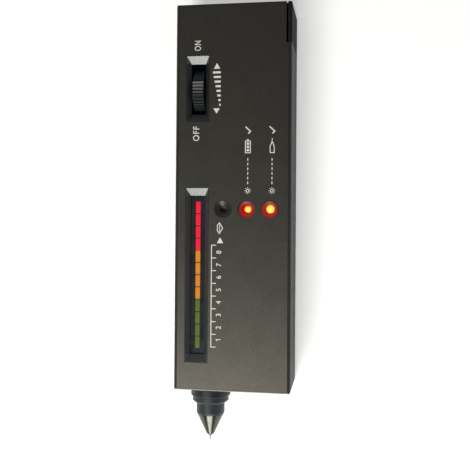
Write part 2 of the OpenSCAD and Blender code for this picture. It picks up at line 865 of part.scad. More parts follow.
// Row of lying resistors under the board, each on two bent legs
module resistors() {
    body_d = 1.8;
    body_len = 5;
    leg_d = 0.6;
    span = 8;
    bend_r = 0.8;
    row_pitch = 4;
    lift = 0.3;
    z = board_bottom - body_d / 2 - lift;
    bend_x = span / 2 - bend_r;
    color("#C9AE7C") for (k = [0 : 7])
        translate([chip_x - resistor_shift, amplifier_y + resistor_start + k * row_pitch, z]) {
            translate([-body_len / 2, 0, 0]) rotate([0, 90, 0]) cylinder(d = body_d, h = body_len);
            translate([-bend_x, 0, 0]) rotate([0, 90, 0]) cylinder(d = leg_d, h = 2 * bend_x);
            for (side = [0, 1]) mirror([side, 0, 0]) {
                translate([bend_x, 0, bend_r]) rotate([90, 0, 0]) rotate([0, 0, -90])
                    rotate_extrude(angle = 90) translate([bend_r, 0]) circle(d = leg_d);
                translate([span / 2, 0, bend_r]) cylinder(d = leg_d, h = board_bottom - z - bend_r);
            }
        }
}

// Preset for the maker's calibration, with a screwdriver slot
module trimmer() {
    side = 6.4;
    h = 3.4;
    screw_d = 3;
    screw_depth = 0.6;
    color("#3B5FA0") translate([chip_x - trimmer_shift, amplifier_y, board_top]) difference() {
        translate([-side / 2, -side / 2, 0]) cube([side, side, h]);
        translate([0, 0, h - screw_depth]) difference() {
            cylinder(d = screw_d, h = CUT);
            translate([-screw_d, -screw_depth / 2, -CUT]) cube([2 * screw_d, screw_depth, 3 * CUT]);
        }
    }
}

// Socket under the board that takes the probe's leads
module probe_header() {
    color("#E6E2D6")
        translate([probe_x - header_size[0] / 2, header_y - header_size[1] / 2,
            board_bottom - header_size[2]]) cube(header_size);
}

module board_screws() {
    color("#B9BBBD") for (y = post_ys)
        translate([post_x, y, board_bottom]) {
            cylinder(d = board_screw_d, h = board_screw_l);
            difference() {
                translate([0, 0, -board_head_h]) cylinder(d = board_head_d, h = board_head_h);
                cross_slot(board_head_d, board_head_h);
            }
        }
}

// Cross slot in the underside of a screw's head
module cross_slot(head_d, head_h) {
    slot_w = head_d / 6;
    for (a = [0, 90])
        rotate(a) translate([-head_d / 3, -slot_w / 2, -head_h - CUT])
            cube([head_d / 1.5, slot_w, CUT + head_h / 2]);
}

module case_screws() {
    color("#B9BBBD") for (p = screw_places)
        translate([p[0], p[1], head_z]) {
            cylinder(d = screw_d, h = screw_l);
            difference() {
                translate([0, 0, -screw_head_h]) cylinder(d = screw_head_d, h = screw_head_h);
                cross_slot(screw_head_d, screw_head_h);
            }
        }
}

// Volume wheel and potentiometer

// Ribbed rim: one raised flat and one valley for each rib, with a plain stretch between the ribs
module wheel_outline() {
    r1 = wheel_d / 2;
    r0 = r1 - rib_h;
    step = 360 / wheel_ribs;
    polygon([
        for (k = [0 : wheel_ribs - 1], q = [[0.15, r0], [0.25, r1], [0.75, r1], [0.85, r0]])
            (k < plain_ribs ? r0 : q[1]) * [cos((k + q[0]) * step), sin((k + q[0]) * step)]
    ]);
}

module volume_wheel() {
    x0 = window_x - wheel_w / 2;
    x1 = window_x + wheel_w / 2;
    hub_d = wheel_d - 2 * rim_t;
    dish = 0.5;
    color("#26272A") on_wheel_axis() {
        difference() {
            translate([0, 0, x0]) linear_extrude(wheel_w) wheel_outline();
            translate([0, 0, x1 - dish]) difference() {
                cylinder(d = hub_d, h = CUT);
                translate([0, 0, -CUT]) cylinder(d = axle_d + 2, h = 3 * CUT);
            }
        }
        translate([0, 0, pot_x0 + side_gap]) cylinder(d = axle_d, h = x0 - pot_x0);
        translate([0, 0, x1 - dish]) cylinder(d = stub_d, h = bay_x - side_gap - x1 + dish);
    }
}

module potentiometer() {
    tab_w = 7;
    tab_drop = 9;
    color("#8A6A3C") on_wheel_axis() translate([0, 0, pot_x0]) difference() {
        union() {
            cylinder(d = pot_d, h = pot_t);
            translate([-tab_w / 2, -tab_drop, 0]) cube([tab_w, tab_drop, pot_t]);
        }
        translate([0, 0, -CUT]) cylinder(d = axle_d + 2 * axle_gap, h = pot_t + 2 * CUT);
    }
}

module pot_board() {
    color("#2F6B3A")
        box_between([pot_x0 - pot_board_t, wheel_y - pot_board_l / 2, wall + side_gap],
            [pot_x0, wheel_y + pot_board_l / 2, pot_board_z1]);
}

module pot_leads() {
    color("#B8B2A0") for (k = [0 : 2]) lead(pot_lead_route(k));
}

// Battery and its connector

module battery() {
    z = battery_z0 + battery_t / 2;
    color("#3A4650") {
        box_between([battery_x - battery_w / 2, battery_y0, battery_z0],
            [battery_x + battery_w / 2, battery_y1, battery_z0 + battery_t]);
        translate([battery_x, battery_y0 + CUT, z]) rotate([90, 0, 0]) {
            translate([-terminal_pitch / 2, 0, 0]) cylinder(d = stud_d, h = terminal_h + CUT);
            translate([terminal_pitch / 2, 0, 0]) difference() {
                cylinder(d = socket_d, h = terminal_h + CUT);
                translate([0, 0, CUT]) cylinder(d = stud_d + 2 * seat_gap, h = terminal_h + CUT);
            }
        }
    }
}

// Strap with a socket for one terminal and a stud for the other
module battery_snap() {
    strap = [battery_w - 2 * strap_inset, strap_h, snap_t];
    z = battery_z0 + battery_t / 2;
    room = terminal_h + seat_gap - terminal_gap;
    color("#1A1A1C") translate([battery_x, battery_y0 - terminal_gap, z]) rotate([90, 0, 0]) {
        difference() {
            translate([-strap[0] / 2, -strap[1] / 2, 0]) cube(strap);
            translate([-terminal_pitch / 2, 0, -CUT]) cylinder(d = stud_d + 2 * seat_gap, h = room + CUT);
            translate([terminal_pitch / 2, 0, -CUT]) cylinder(d = socket_d + 2 * seat_gap, h = room + CUT);
        }
        translate([terminal_pitch / 2, 0, 0]) cylinder(d = stud_d, h = room + CUT);
    }
}

module battery_lead_red() {
    color("#B8201E") lead(battery_lead_route(battery_x - battery_lead_pitch / 2));
}

module battery_lead_black() {
    color("#151515") lead(battery_lead_route(battery_x + battery_lead_pitch / 2));
}

// Probe

module nose_collar() {
    chamfer = 0.5;
    face = wall + seat_gap;
    color("#202428") on_probe_axis() rotate_extrude() polygon([
        [thread_d / 2 + seat_gap, -face - flange_inner_t], [flange_inner_d / 2, -face - flange_inner_t],
        [flange_inner_d / 2, -face], [neck_d / 2, -face], [neck_d / 2, seat_gap],
        [collar_d / 2, seat_gap], [collar_d / 2, collar_l - chamfer - seat_gap],
        [collar_d / 2 - chamfer, collar_l - seat_gap], [thread_d / 2 + seat_gap, collar_l - seat_gap]
    ]);
}

module nose_sleeve() {
    step = 0.2;
    color("#23272C") on_probe_axis() rotate_extrude() polygon([
        [bore_d / 2, -sleeve_tail], [thread_d / 2, -sleeve_tail], [thread_d / 2, s_ring],
        [ring_d / 2, s_ring], [ring_d / 2, s_slope], [sleeve_d / 2 + step, s_sleeve],
        [sleeve_d / 2, s_sleeve], [sleeve_d / 2, s_taper],
        [cone_base_d / 2, s_cone], [bore_d / 2, s_cone]
    ]);
}

// Metal cone with a tail in the sleeve, a chamber for the plunger and a fine bore for the needle
module tip_cone() {
    base = s_cone + seat_gap;
    needle_bore = needle_d + 2 * end_gap;
    color("#B5B1A4") on_probe_axis() rotate_extrude() {
        polygon([
            [cavity_d / 2, s_cone - tip_tail], [bore_d / 2 - seat_gap, s_cone - tip_tail],
            [bore_d / 2 - seat_gap, base], [cone_base_d / 2, base],
            [cone_tip_d / 2, s_tip - cone_end_l], [cone_end_d / 2, s_tip],
            [needle_bore / 2, s_tip], [needle_bore / 2, cavity_end], [cavity_d / 2, cavity_end]
        ]);
    }
}

module probe_needle() {
    r = needle_d / 2;
    color("#B87A4B") on_probe_axis() rotate_extrude() intersection() {
        union() {
            translate([0, needle_root]) square([r, probe_reach - r - needle_root]);
            translate([0, probe_reach - r]) circle(r);
        }
        translate([0, needle_root]) square([needle_d, probe_reach - needle_root]);
    }
}

module probe_plunger() {
    color("#B99B52") on_probe_axis() difference() {
        union() {
            translate([0, 0, plunger_back]) cylinder(d = plunger_d, h = plunger_l);
            translate([0, 0, plunger_back - plunger_tail_l])
                cylinder(d = plunger_tail_d, h = plunger_tail_l + plunger_l / 2);
        }
        translate([0, 0, needle_root - seat_gap])
            cylinder(d = needle_d + seat_gap / 2, h = plunger_l + CUT);
    }
}

// Wound as one unbroken wire between its seat and the plunger's shoulder
module probe_spring() {
    steps = 12;
    z0 = seat_front + spring_wire / 2 + seat_gap;
    z1 = plunger_back - spring_wire / 2 - seat_gap;
    coil = [
        for (i = [0 : spring_turns * steps])
            [spring_d / 2 * cos(360 * i / steps), spring_d / 2 * sin(360 * i / steps),
                z0 + (z1 - z0) * i / (spring_turns * steps)]
    ];
    color("#C9CBCE") on_probe_axis() tube(coil, spring_wire, 6, [1, 0, 0]);
}

module spring_seat() {
    color("#B99B52") on_probe_axis() translate([0, 0, seat_front - seat_t]) difference() {
        cylinder(d = bore_d - 2 * seat_gap, h = seat_t);
        translate([0, 0, -CUT]) cylinder(d = seat_bore_d, h = seat_t + 2 * CUT);
    }
}

module probe_leads() {
    color("#C4BFB0") for (side = [-1, 1])
        lead(probe_lead_route(probe_x + side * probe_lead_pitch / 2));
}

front_case();
rear_case();
face_plate();
battery_cover();
cover_pad();
light_holder();
lamp(1);  // battery_lamp
lamp(2);  // ready_lamp
lamp_spacers();
buzzer();
circuit_board();
driver_chip();
amplifier_chip();
capacitors();
resistors();
trimmer();
probe_header();
volume_wheel();
potentiometer();
pot_board();
pot_leads();
battery();
battery_snap();
battery_lead_red();
battery_lead_black();
nose_collar();
nose_sleeve();
tip_cone();
probe_needle();
probe_plunger();
probe_spring();
spring_seat();
probe_leads();
case_screws();
board_screws();
for (i = [0 : light_count - 1])
    bar_light(i);
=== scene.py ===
"""Looks of a hand-held gemstone tester: finishes, printed marks, lit lights and a plain studio."""

import logging
import math
from dataclasses import dataclass
from enum import Enum
from functools import cache
from typing import Optional, Sequence, Union

import bmesh
import bpy
from mathutils import Matrix, Vector


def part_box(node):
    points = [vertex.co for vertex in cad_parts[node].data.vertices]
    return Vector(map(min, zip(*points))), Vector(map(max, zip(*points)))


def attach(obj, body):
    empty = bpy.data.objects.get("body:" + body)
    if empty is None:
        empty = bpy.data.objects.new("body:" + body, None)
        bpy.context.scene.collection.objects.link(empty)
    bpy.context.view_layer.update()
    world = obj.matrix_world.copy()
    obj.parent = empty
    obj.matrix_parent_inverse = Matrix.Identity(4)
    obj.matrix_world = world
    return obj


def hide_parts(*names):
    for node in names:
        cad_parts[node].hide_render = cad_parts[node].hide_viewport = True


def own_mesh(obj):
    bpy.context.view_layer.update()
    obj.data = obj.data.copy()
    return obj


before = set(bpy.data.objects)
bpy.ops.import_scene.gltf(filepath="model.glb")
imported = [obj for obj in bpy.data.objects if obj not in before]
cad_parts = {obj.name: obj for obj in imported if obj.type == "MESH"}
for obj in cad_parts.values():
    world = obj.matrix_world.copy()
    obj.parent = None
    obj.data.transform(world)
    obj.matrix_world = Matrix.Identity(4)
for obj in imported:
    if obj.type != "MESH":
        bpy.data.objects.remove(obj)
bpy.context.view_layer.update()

MM = 0.001
MICRON = 0.000001
PICTURE_PX = 470

# Places on the front panel, in millimetres in the part's frame
PANEL_Z = 23.0
NOSE_Y = -56.65
WHEEL_Y, WHEEL_Z = 47.55, 14.2
LAMP_Y = 5.9
SOUND_X, BATTERY_LAMP_X, READY_LAMP_X = -3.3, 4.8, 12.9

# Most values of a noise texture lie between these two
NOISE_LOW, NOISE_HIGH = 0.3, 0.7
# Length in metres of one wave of a wave texture whose scale is 1
WAVE_LENGTH = math.pi / 10
WHITE = "#FFFFFF"
# Roughness of a polished place under lacquer
POLISHED = 0.34

log = logging.getLogger("tester")
Loop = Sequence[tuple[float, float]]
Socket = bpy.types.NodeSocket
Setting = Union[float, int, bool, Sequence[float], Socket, bpy.types.ID]


class Axis(Enum):
    """An axis of the part's frame, by its place in a vector."""

    X = 0
    Y = 1
    Z = 2


class LightColour(Enum):
    """A colour of the light bar's lights, as in the names of their nodes."""

    RED = "red"
    AMBER = "amber"
    GREEN = "green"


class Side(Enum):
    """The way that a printed bar grows from its foot, along X."""

    LEFT = -1.0
    RIGHT = 1.0


class Stretch(Enum):
    """A stretch of a window, by the sign of its place along Y."""

    LOWER_END = -1
    WHOLE = 0
    UPPER_END = 1


def linear(colour: str) -> tuple[float, float, float, float]:
    """Turns an sRGB hex colour into linear RGBA.

    Args:
        colour: six hex digits after a hash sign.

    Returns:
        The linear colour with an alpha of 1.
    """
    parts = [int(colour[i:i + 2], 16) / 255 for i in (1, 3, 5)]
    red, green, blue = (c / 12.92 if c <= 0.04045 else ((c + 0.055) / 1.055) ** 2.4 for c in parts)
    return red, green, blue, 1.0


def metres(point: Sequence[float]) -> tuple[float, ...]:
    """Gives a point in millimetres in metres."""
    return tuple(value * MM for value in point)


def scale_of(size_mm: float) -> float:
    """Gives the scale of a texture whose features have a size in millimetres."""
    return 1 / (size_mm * MM)


def add(
    tree: bpy.types.NodeTree,
    kind: str,
    inputs: Optional[dict[Union[str, int], Setting]] = None,
    stops: Sequence[tuple[float, str]] = (),
    **settings: Union[str, bool, int, float, bpy.types.ID],
) -> bpy.types.Node:
    """Adds a node with its settings, its input values and its links.

    Args:
        tree: the node tree that gets the node.
        kind: the node's type name.
        inputs: values, or sockets to link from, by the input's name or number.
        stops: places and hex colours of a colour ramp.
        **settings: the node's own properties.

    Returns:
        The new node.
    """
    made = tree.nodes.new(kind)
    for name, value in settings.items():
        setattr(made, name, value)
    for key, value in (inputs or {}).items():
        if isinstance(value, Socket):
            tree.links.new(value, made.inputs[key])
        else:
            made.inputs[key].default_value = value
    for number, (place, colour) in enumerate(stops):
        ramp = made.color_ramp.elements
        stop = ramp[number] if number < 2 else ramp.new(place)
        stop.position = place
        stop.color = linear(colour)
    return made


def from_axis(tree: bpy.types.NodeTree, point: Socket, centre: Sequence[float], across: Sequence[float]) -> Socket:
    """Makes nodes that give the distance from an axis.

    Args:
        tree: the material's node tree.
        point: the object coordinates.
        centre: a point on the axis, in millimetres.
        across: 1 for each direction that counts, and 0 for the axis's own.

    Returns:
        The socket of the distance in metres.
    """
    away = add(tree, "ShaderNodeVectorMath", {0: point, 1: metres(centre)}, operation="SUBTRACT")
    flat = add(tree, "ShaderNodeVectorMath", {0: away.outputs[0], 1: across}, operation="MULTIPLY")
    return add(tree, "ShaderNodeVectorMath", {0: flat.outputs[0]}, operation="LENGTH").outputs["Value"]


@dataclass(frozen=True)
class Zone:
    """A box in the part's frame, in millimetres, inside which a surface has another colour, gloss and lacquer."""

    centre: tuple[float, float, float]
    half: tuple[float, float, float]
    colour: str
    gloss: float = POLISHED
    lacquer: float = 1.0

    def mask(self, tree: bpy.types.NodeTree, point: Socket) -> Socket:
        """Makes nodes that give 1 inside the box and 0 outside.

        Args:
            tree: the material's node tree.
            point: the object coordinates.

        Returns:
            The mask's socket.
        """
        away = add(tree, "ShaderNodeVectorMath", {0: point, 1: metres(self.centre)}, operation="SUBTRACT")
        size = add(tree, "ShaderNodeVectorMath", {0: away.outputs[0]}, operation="ABSOLUTE")
        over = add(tree, "ShaderNodeVectorMath", {0: size.outputs[0], 1: metres(self.half)}, operation="SUBTRACT")
        axes = add(tree, "ShaderNodeSeparateXYZ", {0: over.outputs[0]})
        flat = add(tree, "ShaderNodeMath", {0: axes.outputs[0], 1: axes.outputs[1]}, operation="MAXIMUM")
        most = add(tree, "ShaderNodeMath", {0: flat.outputs[0], 1: axes.outputs[2]}, operation="MAXIMUM")
        return add(tree, "ShaderNodeMath", {0: most.outputs[0], 1: 0.0}, operation="LESS_THAN").outputs[0]


@dataclass(frozen=True)
class Window:
    """A window in the front panel with bevels on its four sides; sizes in millimetres."""

    y: float
    half_l: float
    x: float = -12.4
    half_w: float = 3.96
    end_bevel: float = 2.5
    end_slack: float = 0.05
    depth: tuple[float, float] = (-0.1, 3.1)

    def zone(self, colour: str, gloss: float = POLISHED, lacquer: float = 1.0, stretch: Stretch = Stretch.WHOLE,
             depth: Optional[tuple[float, float]] = None) -> Zone:
        """Gives the zone that holds a stretch of the window.

        Args:
            colour: the surface's colour there.
            gloss: its roughness.
            lacquer: its share of clear lacquer.
            stretch: the whole window or one of its end bevels.
            depth: where the zone starts and ends under the panel, or None for the depth of the bevels.

        Returns:
            The zone.
        """
        top, bottom = depth or self.depth
        middle = self.y + stretch.value * (self.half_l - self.end_bevel / 2)
        half_l = self.half_l if stretch is Stretch.WHOLE else self.end_bevel / 2 + self.end_slack
        return Zone((self.x, middle, PANEL_Z - (top + bottom) / 2), (self.half_w, half_l, (bottom - top) / 2),
                    colour, gloss, lacquer)


@dataclass(frozen=True)
class ConicalHole:
    """A conical hole in the front panel; sizes in millimetres."""

    x: float
    half_w: float = 2.9
    depth: tuple[float, float] = (-0.1, 1.5)

    def zone(self, colour: str, gloss: float) -> Zone:
        """Gives the zone that holds the cone, which has no lacquer."""
        top, bottom = self.depth
        return Zone((self.x, LAMP_Y, PANEL_Z - (top + bottom) / 2), (self.half_w, self.half_w, (bottom - top) / 2),
                    colour, gloss, 0.0)


@dataclass(frozen=True)
class Finish:
    """A real material with its surface: two close colours, its gloss and the grain that catches light.

    Sizes of patterns are in millimetres, depths of relief in microns.
    """

    title: str
    deep: str
    pale: str
    roughness: float
    metallic: float = 0.0
    ior: float = 1.5
    mottle_mm: float = 4.0
    mottle_detail: float = 4.0
    grain_mm: float = 0.4
    grain_um: float = 5.0
    grain_detail: float = 2.0
    gloss_spread: float = 0.05
    gloss_detail: float = 3.0
    specular: float = 0.5
    coat: float = 0.0
    coat_roughness: float = 0.03
    glow_strength: float = 0.0

    def colour(self, tree: bpy.types.NodeTree, point: Socket) -> Socket:
        """Makes the colour, which drifts between the deep and the pale one.

        Args:
            tree: the material's node tree.
            point: the object coordinates.

        Returns:
            The colour's socket.
        """
        drift = add(tree, "ShaderNodeTexNoise",
                    {"Vector": point, "Scale": scale_of(self.mottle_mm), "Detail": self.mottle_detail})
        return add(tree, "ShaderNodeValToRGB", {0: drift.outputs[0]},
                   [(NOISE_LOW, self.deep), (NOISE_HIGH, self.pale)]).outputs[0]

    def gloss(self, tree: bpy.types.NodeTree, point: Socket) -> Socket:
        """Makes the roughness, which varies as the mould or the tool left it.

        Args:
            tree: the material's node tree.
            point: the object coordinates.

        Returns:
            The roughness's socket.
        """
        uneven = add(tree, "ShaderNodeTexNoise",
                     {"Vector": point, "Scale": scale_of(self.mottle_mm / 2), "Detail": self.gloss_detail})
        return add(tree, "ShaderNodeMapRange", {
            "Value": uneven.outputs[0], "From Min": NOISE_LOW, "From Max": NOISE_HIGH,
            "To Min": self.roughness - self.gloss_spread, "To Max": self.roughness + self.gloss_spread,
        }).outputs[0]

    def height(self, tree: bpy.types.NodeTree, point: Socket) -> Socket:
        """Makes the height of the surface's fine relief."""
        return add(tree, "ShaderNodeTexNoise",
                   {"Vector": point, "Scale": scale_of(self.grain_mm), "Detail": self.grain_detail}).outputs[0]

    def lacquer(self, tree: bpy.types.NodeTree, point: Socket) -> Setting:
        """Gives the share of clear lacquer over the surface."""
        return self.coat

    def glow(self, tree: bpy.types.NodeTree, point: Socket) -> Optional[Socket]:
        """Makes the colour of light that the surface gives off, where it gives any."""
        return None

    def build(self) -> bpy.types.Material:
        """Builds the material.

        Returns:
            The new material.
        """
        made = bpy.data.materials.new(self.title)
        made.use_nodes = True
        tree = made.node_tree
        tree.nodes.clear()
        point = add(tree, "ShaderNodeTexCoord").outputs["Object"]
        relief = add(tree, "ShaderNodeBump", {
            "Height": self.height(tree, point), "Distance": self.grain_um * MICRON, "Strength": 1.0,
        })
        inputs: dict[Union[str, int], Setting] = {
            "Base Color": self.colour(tree, point),
            "Roughness": self.gloss(tree, point),
            "Normal": relief.outputs[0],
            "Metallic": self.metallic,
            "Coat Weight": self.lacquer(tree, point),
            "Coat Roughness": self.coat_roughness,
        }
        if not self.metallic:
            inputs["IOR"] = self.ior
            inputs["Specular IOR Level"] = self.specular
        light = self.glow(tree, point)
        if light is not None:
            inputs["Emission Color"] = light
            inputs["Emission Strength"] = self.glow_strength
        shader = add(tree, "ShaderNodeBsdfPrincipled", inputs)
        add(tree, "ShaderNodeOutputMaterial", {"Surface": shader.outputs[0]})
        return made


@dataclass(frozen=True)
class MouldedCase(Finish):
    """Moulded plastic with places of another tone and gloss, and with lamps whose light is painted as a red glow on
    the cones round them.
    """

    zones: tuple[Zone, ...] = ()
    smooth_height: float = 0.5
    lamps: tuple[tuple[float, float], ...] = ()
    lamp_reach_mm: float = 3.0
    lamp_light: tuple[tuple[float, str], ...] = ()

    def by_zone(self, tree: bpy.types.NodeTree, point: Socket, plain: Setting, values: Sequence[float]) -> Setting:
        """Makes nodes that swap a number for another one inside each place.

        Args:
            tree: the material's node tree.
            point: the object coordinates.
            plain: the number, or its socket, outside all places.
            values: the number inside each place.

        Returns:
            The socket of the mixed number.
        """
        found = plain
        for zone, value in zip(self.zones, values):
            found = add(tree, "ShaderNodeMix", {0: zone.mask(tree, point), 2: found, 3: value}).outputs[0]
        return found

    def colour(self, tree: bpy.types.NodeTree, point: Socket) -> Socket:
        """Makes the colour, with its own in each place.

        Args:
            tree: the material's node tree.
            point: the object coordinates.

        Returns:
            The colour's socket.
        """
        found = super().colour(tree, point)
        for zone in self.zones:
            found = add(tree, "ShaderNodeMix", {0: zone.mask(tree, point), 6: found, 7: linear(zone.colour)},
                        data_type="RGBA").outputs[2]
        return found

    def gloss(self, tree: bpy.types.NodeTree, point: Socket) -> Socket:
        """Makes the roughness, with its own in each place."""
        return self.by_zone(tree, point, super().gloss(tree, point), [zone.gloss for zone in self.zones])

    def height(self, tree: bpy.types.NodeTree, point: Socket) -> Socket:
        """Makes the grain, which the places lack."""
        return self.by_zone(tree, point, super().height(tree, point), [self.smooth_height] * len(self.zones))

    def lacquer(self, tree: bpy.types.NodeTree, point: Socket) -> Setting:
        """Makes the share of lacquer, with its own in each place."""
        return self.by_zone(tree, point, self.coat, [zone.lacquer for zone in self.zones])

    def glow(self, tree: bpy.types.NodeTree, point: Socket) -> Optional[Socket]:
        """Makes the painted red glow on the cones, which falls off with the distance from each lamp's axis.

        Args:
            tree: the material's node tree.
            point: the object coordinates.

        Returns:
            The light's socket, or None without lamps.
        """
        if not self.lamps:
            return None
        near, *others = (from_axis(tree, point, (x, y, 0), (1, 1, 0)) for x, y in self.lamps)
        for far in others:
            near = add(tree, "ShaderNodeMath", {0: near, 1: far}, operation="MINIMUM").outputs[0]
        share = add(tree, "ShaderNodeMapRange", {
            "Value": near, "From Min": 0.0, "From Max": self.lamp_reach_mm * MM, "To Min": 0.0, "To Max": 1.0,
        }).outputs[0]
        return add(tree, "ShaderNodeValToRGB", {0: share}, self.lamp_light).outputs[0]


@dataclass(frozen=True)
class PaintedSheet(Finish):
    """Metallic paint on sheet metal: flakes that sparkle a little under a faint orange peel."""

    flake: str = "#757168"
    flake_mm: float = 0.35
    flake_from: float = 0.55
    flake_share: float = 0.35

    def colour(self, tree: bpy.types.NodeTree, point: Socket) -> Socket:
        """Makes the colour with flakes, drawn coarser than real ones so that they show.

        Args:
            tree: the material's node tree.
            point: the object coordinates.

        Returns:
            The colour's socket.
        """
        plain = super().colour(tree, point)
        cells = add(tree, "ShaderNodeTexVoronoi", {"Vector": point, "Scale": scale_of(self.flake_mm)})
        bright = add(tree, "ShaderNodeSeparateColor", {0: cells.outputs["Color"]}).outputs[0]
        share = add(tree, "ShaderNodeMapRange", {
            "Value": bright, "From Min": self.flake_from, "From Max": 1.0, "To Min": 0.0, "To Max": self.flake_share,
        }).outputs[0]
        return add(tree, "ShaderNodeMix", {0: share, 6: plain, 7: linear(self.flake)}, data_type="RGBA").outputs[2]


@dataclass(frozen=True)
class TurnedMetal(Finish):
    """Metal that came off a lathe, with the fine rings of the tool across its axis."""

    ring_mm: float = 0.22
    ring_axis: Axis = Axis.Y
    ring_wobble: float = 0.6
    ring_detail: float = 1.0

    def height(self, tree: bpy.types.NodeTree, point: Socket) -> Socket:
        """Makes the turned rings, drawn coarser than real ones so that they show.

        Args:
            tree: the material's node tree.
            point: the object coordinates.

        Returns:
            The height's socket.
        """
        return add(tree, "ShaderNodeTexWave", {
            "Vector": point, "Scale": WAVE_LENGTH / (self.ring_mm * MM), "Distortion": self.ring_wobble,
            "Detail": self.ring_detail,
        }, wave_type="BANDS", bands_direction=self.ring_axis.name).outputs[1]


@dataclass(frozen=True)
class Banded(Finish):
    """A surface whose colour changes in sharp bands along an axis, such as a coded or two-part piece."""

    axis: Axis = Axis.Y
    span_mm: tuple[float, float] = (0.0, 1.0)
    bands: tuple[tuple[float, str], ...] = ()
    worn_shade: float = 0.88

    def colour(self, tree: bpy.types.NodeTree, point: Socket) -> Socket:
        """Makes the bands; each starts at its place in millimetres.

        Args:
            tree: the material's node tree.
            point: the object coordinates.

        Returns:
            The colour's socket.
        """
        axes = add(tree, "ShaderNodeSeparateXYZ", {0: point})
        low, high = self.span_mm
        share = add(tree, "ShaderNodeMapRange", {
            "Value": axes.outputs[self.axis.value], "From Min": low * MM, "From Max": high * MM,
            "To Min": 0.0, "To Max": 1.0,
        }).outputs[0]
        ramp = add(tree, "ShaderNodeValToRGB", {0: share},
                   [((place - low) / (high - low), colour) for place, colour in self.bands])
        ramp.color_ramp.interpolation = "CONSTANT"
        worn = add(tree, "ShaderNodeTexNoise",
                   {"Vector": point, "Scale": scale_of(self.mottle_mm), "Detail": self.gloss_detail})
        shade = add(tree, "ShaderNodeMapRange", {
            "Value": worn.outputs[0], "From Min": NOISE_LOW, "From Max": NOISE_HIGH,
            "To Min": self.worn_shade, "To Max": 1.0,
        }).outputs[0]
        return add(tree, "ShaderNodeVectorMath", {0: ramp.outputs[0], 3: shade}, operation="SCALE").outputs[0]


@dataclass(frozen=True)
class LitLens(Finish):
    """A diffusing lens over a light, brightest over the light at its middle."""

    light: str = WHITE
    light_edge: str = WHITE
    pitch_mm: float = 4.27
    first_mm: float = 0.0
    dim_from: float = 0.6

    def glow(self, tree: bpy.types.NodeTree, point: Socket) -> Optional[Socket]:
        """Makes the light, which dims towards both ends of each lens.

        Args:
            tree: the material's node tree.
            point: the object coordinates.

        Returns:
            The light's socket.
        """
        half = self.pitch_mm * MM / 2
        axes = add(tree, "ShaderNodeSeparateXYZ", {0: point})
        shifted = add(tree, "ShaderNodeMath", {0: axes.outputs[1], 1: self.first_mm * MM}, operation="SUBTRACT")
        near = add(tree, "ShaderNodeMath", {0: shifted.outputs[0], 1: half}, operation="PINGPONG")
        share = add(tree, "ShaderNodeMapRange", {
            "Value": near.outputs[0], "From Min": half * self.dim_from, "From Max": half,
            "To Min": 0.0, "To Max": 1.0,
        }).outputs[0]
        return add(tree, "ShaderNodeValToRGB", {0: share}, [(0.0, self.light), (1.0, self.light_edge)]).outputs[0]


@dataclass(frozen=True)
class LitLamp(Finish):
    """A domed lamp of tinted resin, yellow to the eye over its die and red at its rim."""

    centre_mm: tuple[float, float] = (0.0, 0.0)
    radius_mm: float = 1.6
    blotch_mm: float = 0.7
    wave_mm: float = 0.12
    light: tuple[tuple[float, str], ...] = (
        (0.45, "#FFFA74"), (0.7, "#FFF05A"), (0.84, "#FFB43A"), (0.93, "#EC5416"), (1.0, "#B01806"),
    )

    def glow(self, tree: bpy.types.NodeTree, point: Socket) -> Optional[Socket]:
        """Makes the light, from the middle of the dome outwards.

        Args:
            tree: the material's node tree.
            point: the object coordinates.

        Returns:
            The light's socket.
        """
        far = from_axis(tree, point, (*self.centre_mm, 0), (1, 1, 0))
        blotch = add(tree, "ShaderNodeTexNoise",
                     {"Vector": point, "Scale": scale_of(self.blotch_mm), "Detail": self.grain_detail})
        uneven = add(tree, "ShaderNodeMapRange", {
            "Value": blotch.outputs[0], "From Min": NOISE_LOW, "From Max": NOISE_HIGH,
            "To Min": -self.wave_mm * MM, "To Max": self.wave_mm * MM,
        }).outputs[0]
        wavy = add(tree, "ShaderNodeMath", {0: far, 1: uneven}, operation="ADD").outputs[0]
        share = add(tree, "ShaderNodeMapRange", {
            "Value": wavy, "From Min": 0.0, "From Max": self.radius_mm * MM, "To Min": 0.0, "To Max": 1.0,
        }).outputs[0]
        return add(tree, "ShaderNodeValToRGB", {0: share}, self.light).outputs[0]


@dataclass(frozen=True)
class WornRim(Finish):
    """A wheel of dark plastic whose rib tops are pale along one stretch of Y, from wear and a painted highlight."""

    axis_mm: tuple[float, float] = (0.0, 0.0)
    groove_mm: float = 8.72
    crest_mm: float = 8.95
    fresh: str = "#1C1C1D"
    # The stretch along Y from the axle where the rib tops turn pale: wear and a painted highlight
    worn_mm: tuple[float, float] = (-2.5, 3.0)

    def colour(self, tree: bpy.types.NodeTree, point: Socket) -> Socket:
        """Makes the colour, which pales from the grooves to the rib tops.

        Args:
            tree: the material's node tree.
            point: the object coordinates.

        Returns:
            The colour's socket.
        """
        far = from_axis(tree, point, (0, *self.axis_mm), (0, 1, 1))
        share = add(tree, "ShaderNodeMapRange", {
            "Value": far, "From Min": self.groove_mm * MM, "From Max": self.crest_mm * MM,
            "To Min": 0.0, "To Max": 1.0,
        }).outputs[0]
        axes = add(tree, "ShaderNodeSeparateXYZ", {0: point})
        start, end = ((self.axis_mm[0] + place) * MM for place in self.worn_mm)
        # Painted highlight with wear: the rib tops pale along this stretch of Y, whatever the light
        pale_from_wear_and_light = add(tree, "ShaderNodeMapRange", {
            "Value": axes.outputs[1], "From Min": start, "From Max": end, "To Min": 0.0, "To Max": 1.0,
        }).outputs[0]
        crest = add(tree, "ShaderNodeMix", {0: pale_from_wear_and_light, 6: linear(self.fresh), 7: linear(self.pale)}, data_type="RGBA")
        return add(tree, "ShaderNodeMix", {0: share, 6: linear(self.deep), 7: crest.outputs[2]},
                   data_type="RGBA").outputs[2]


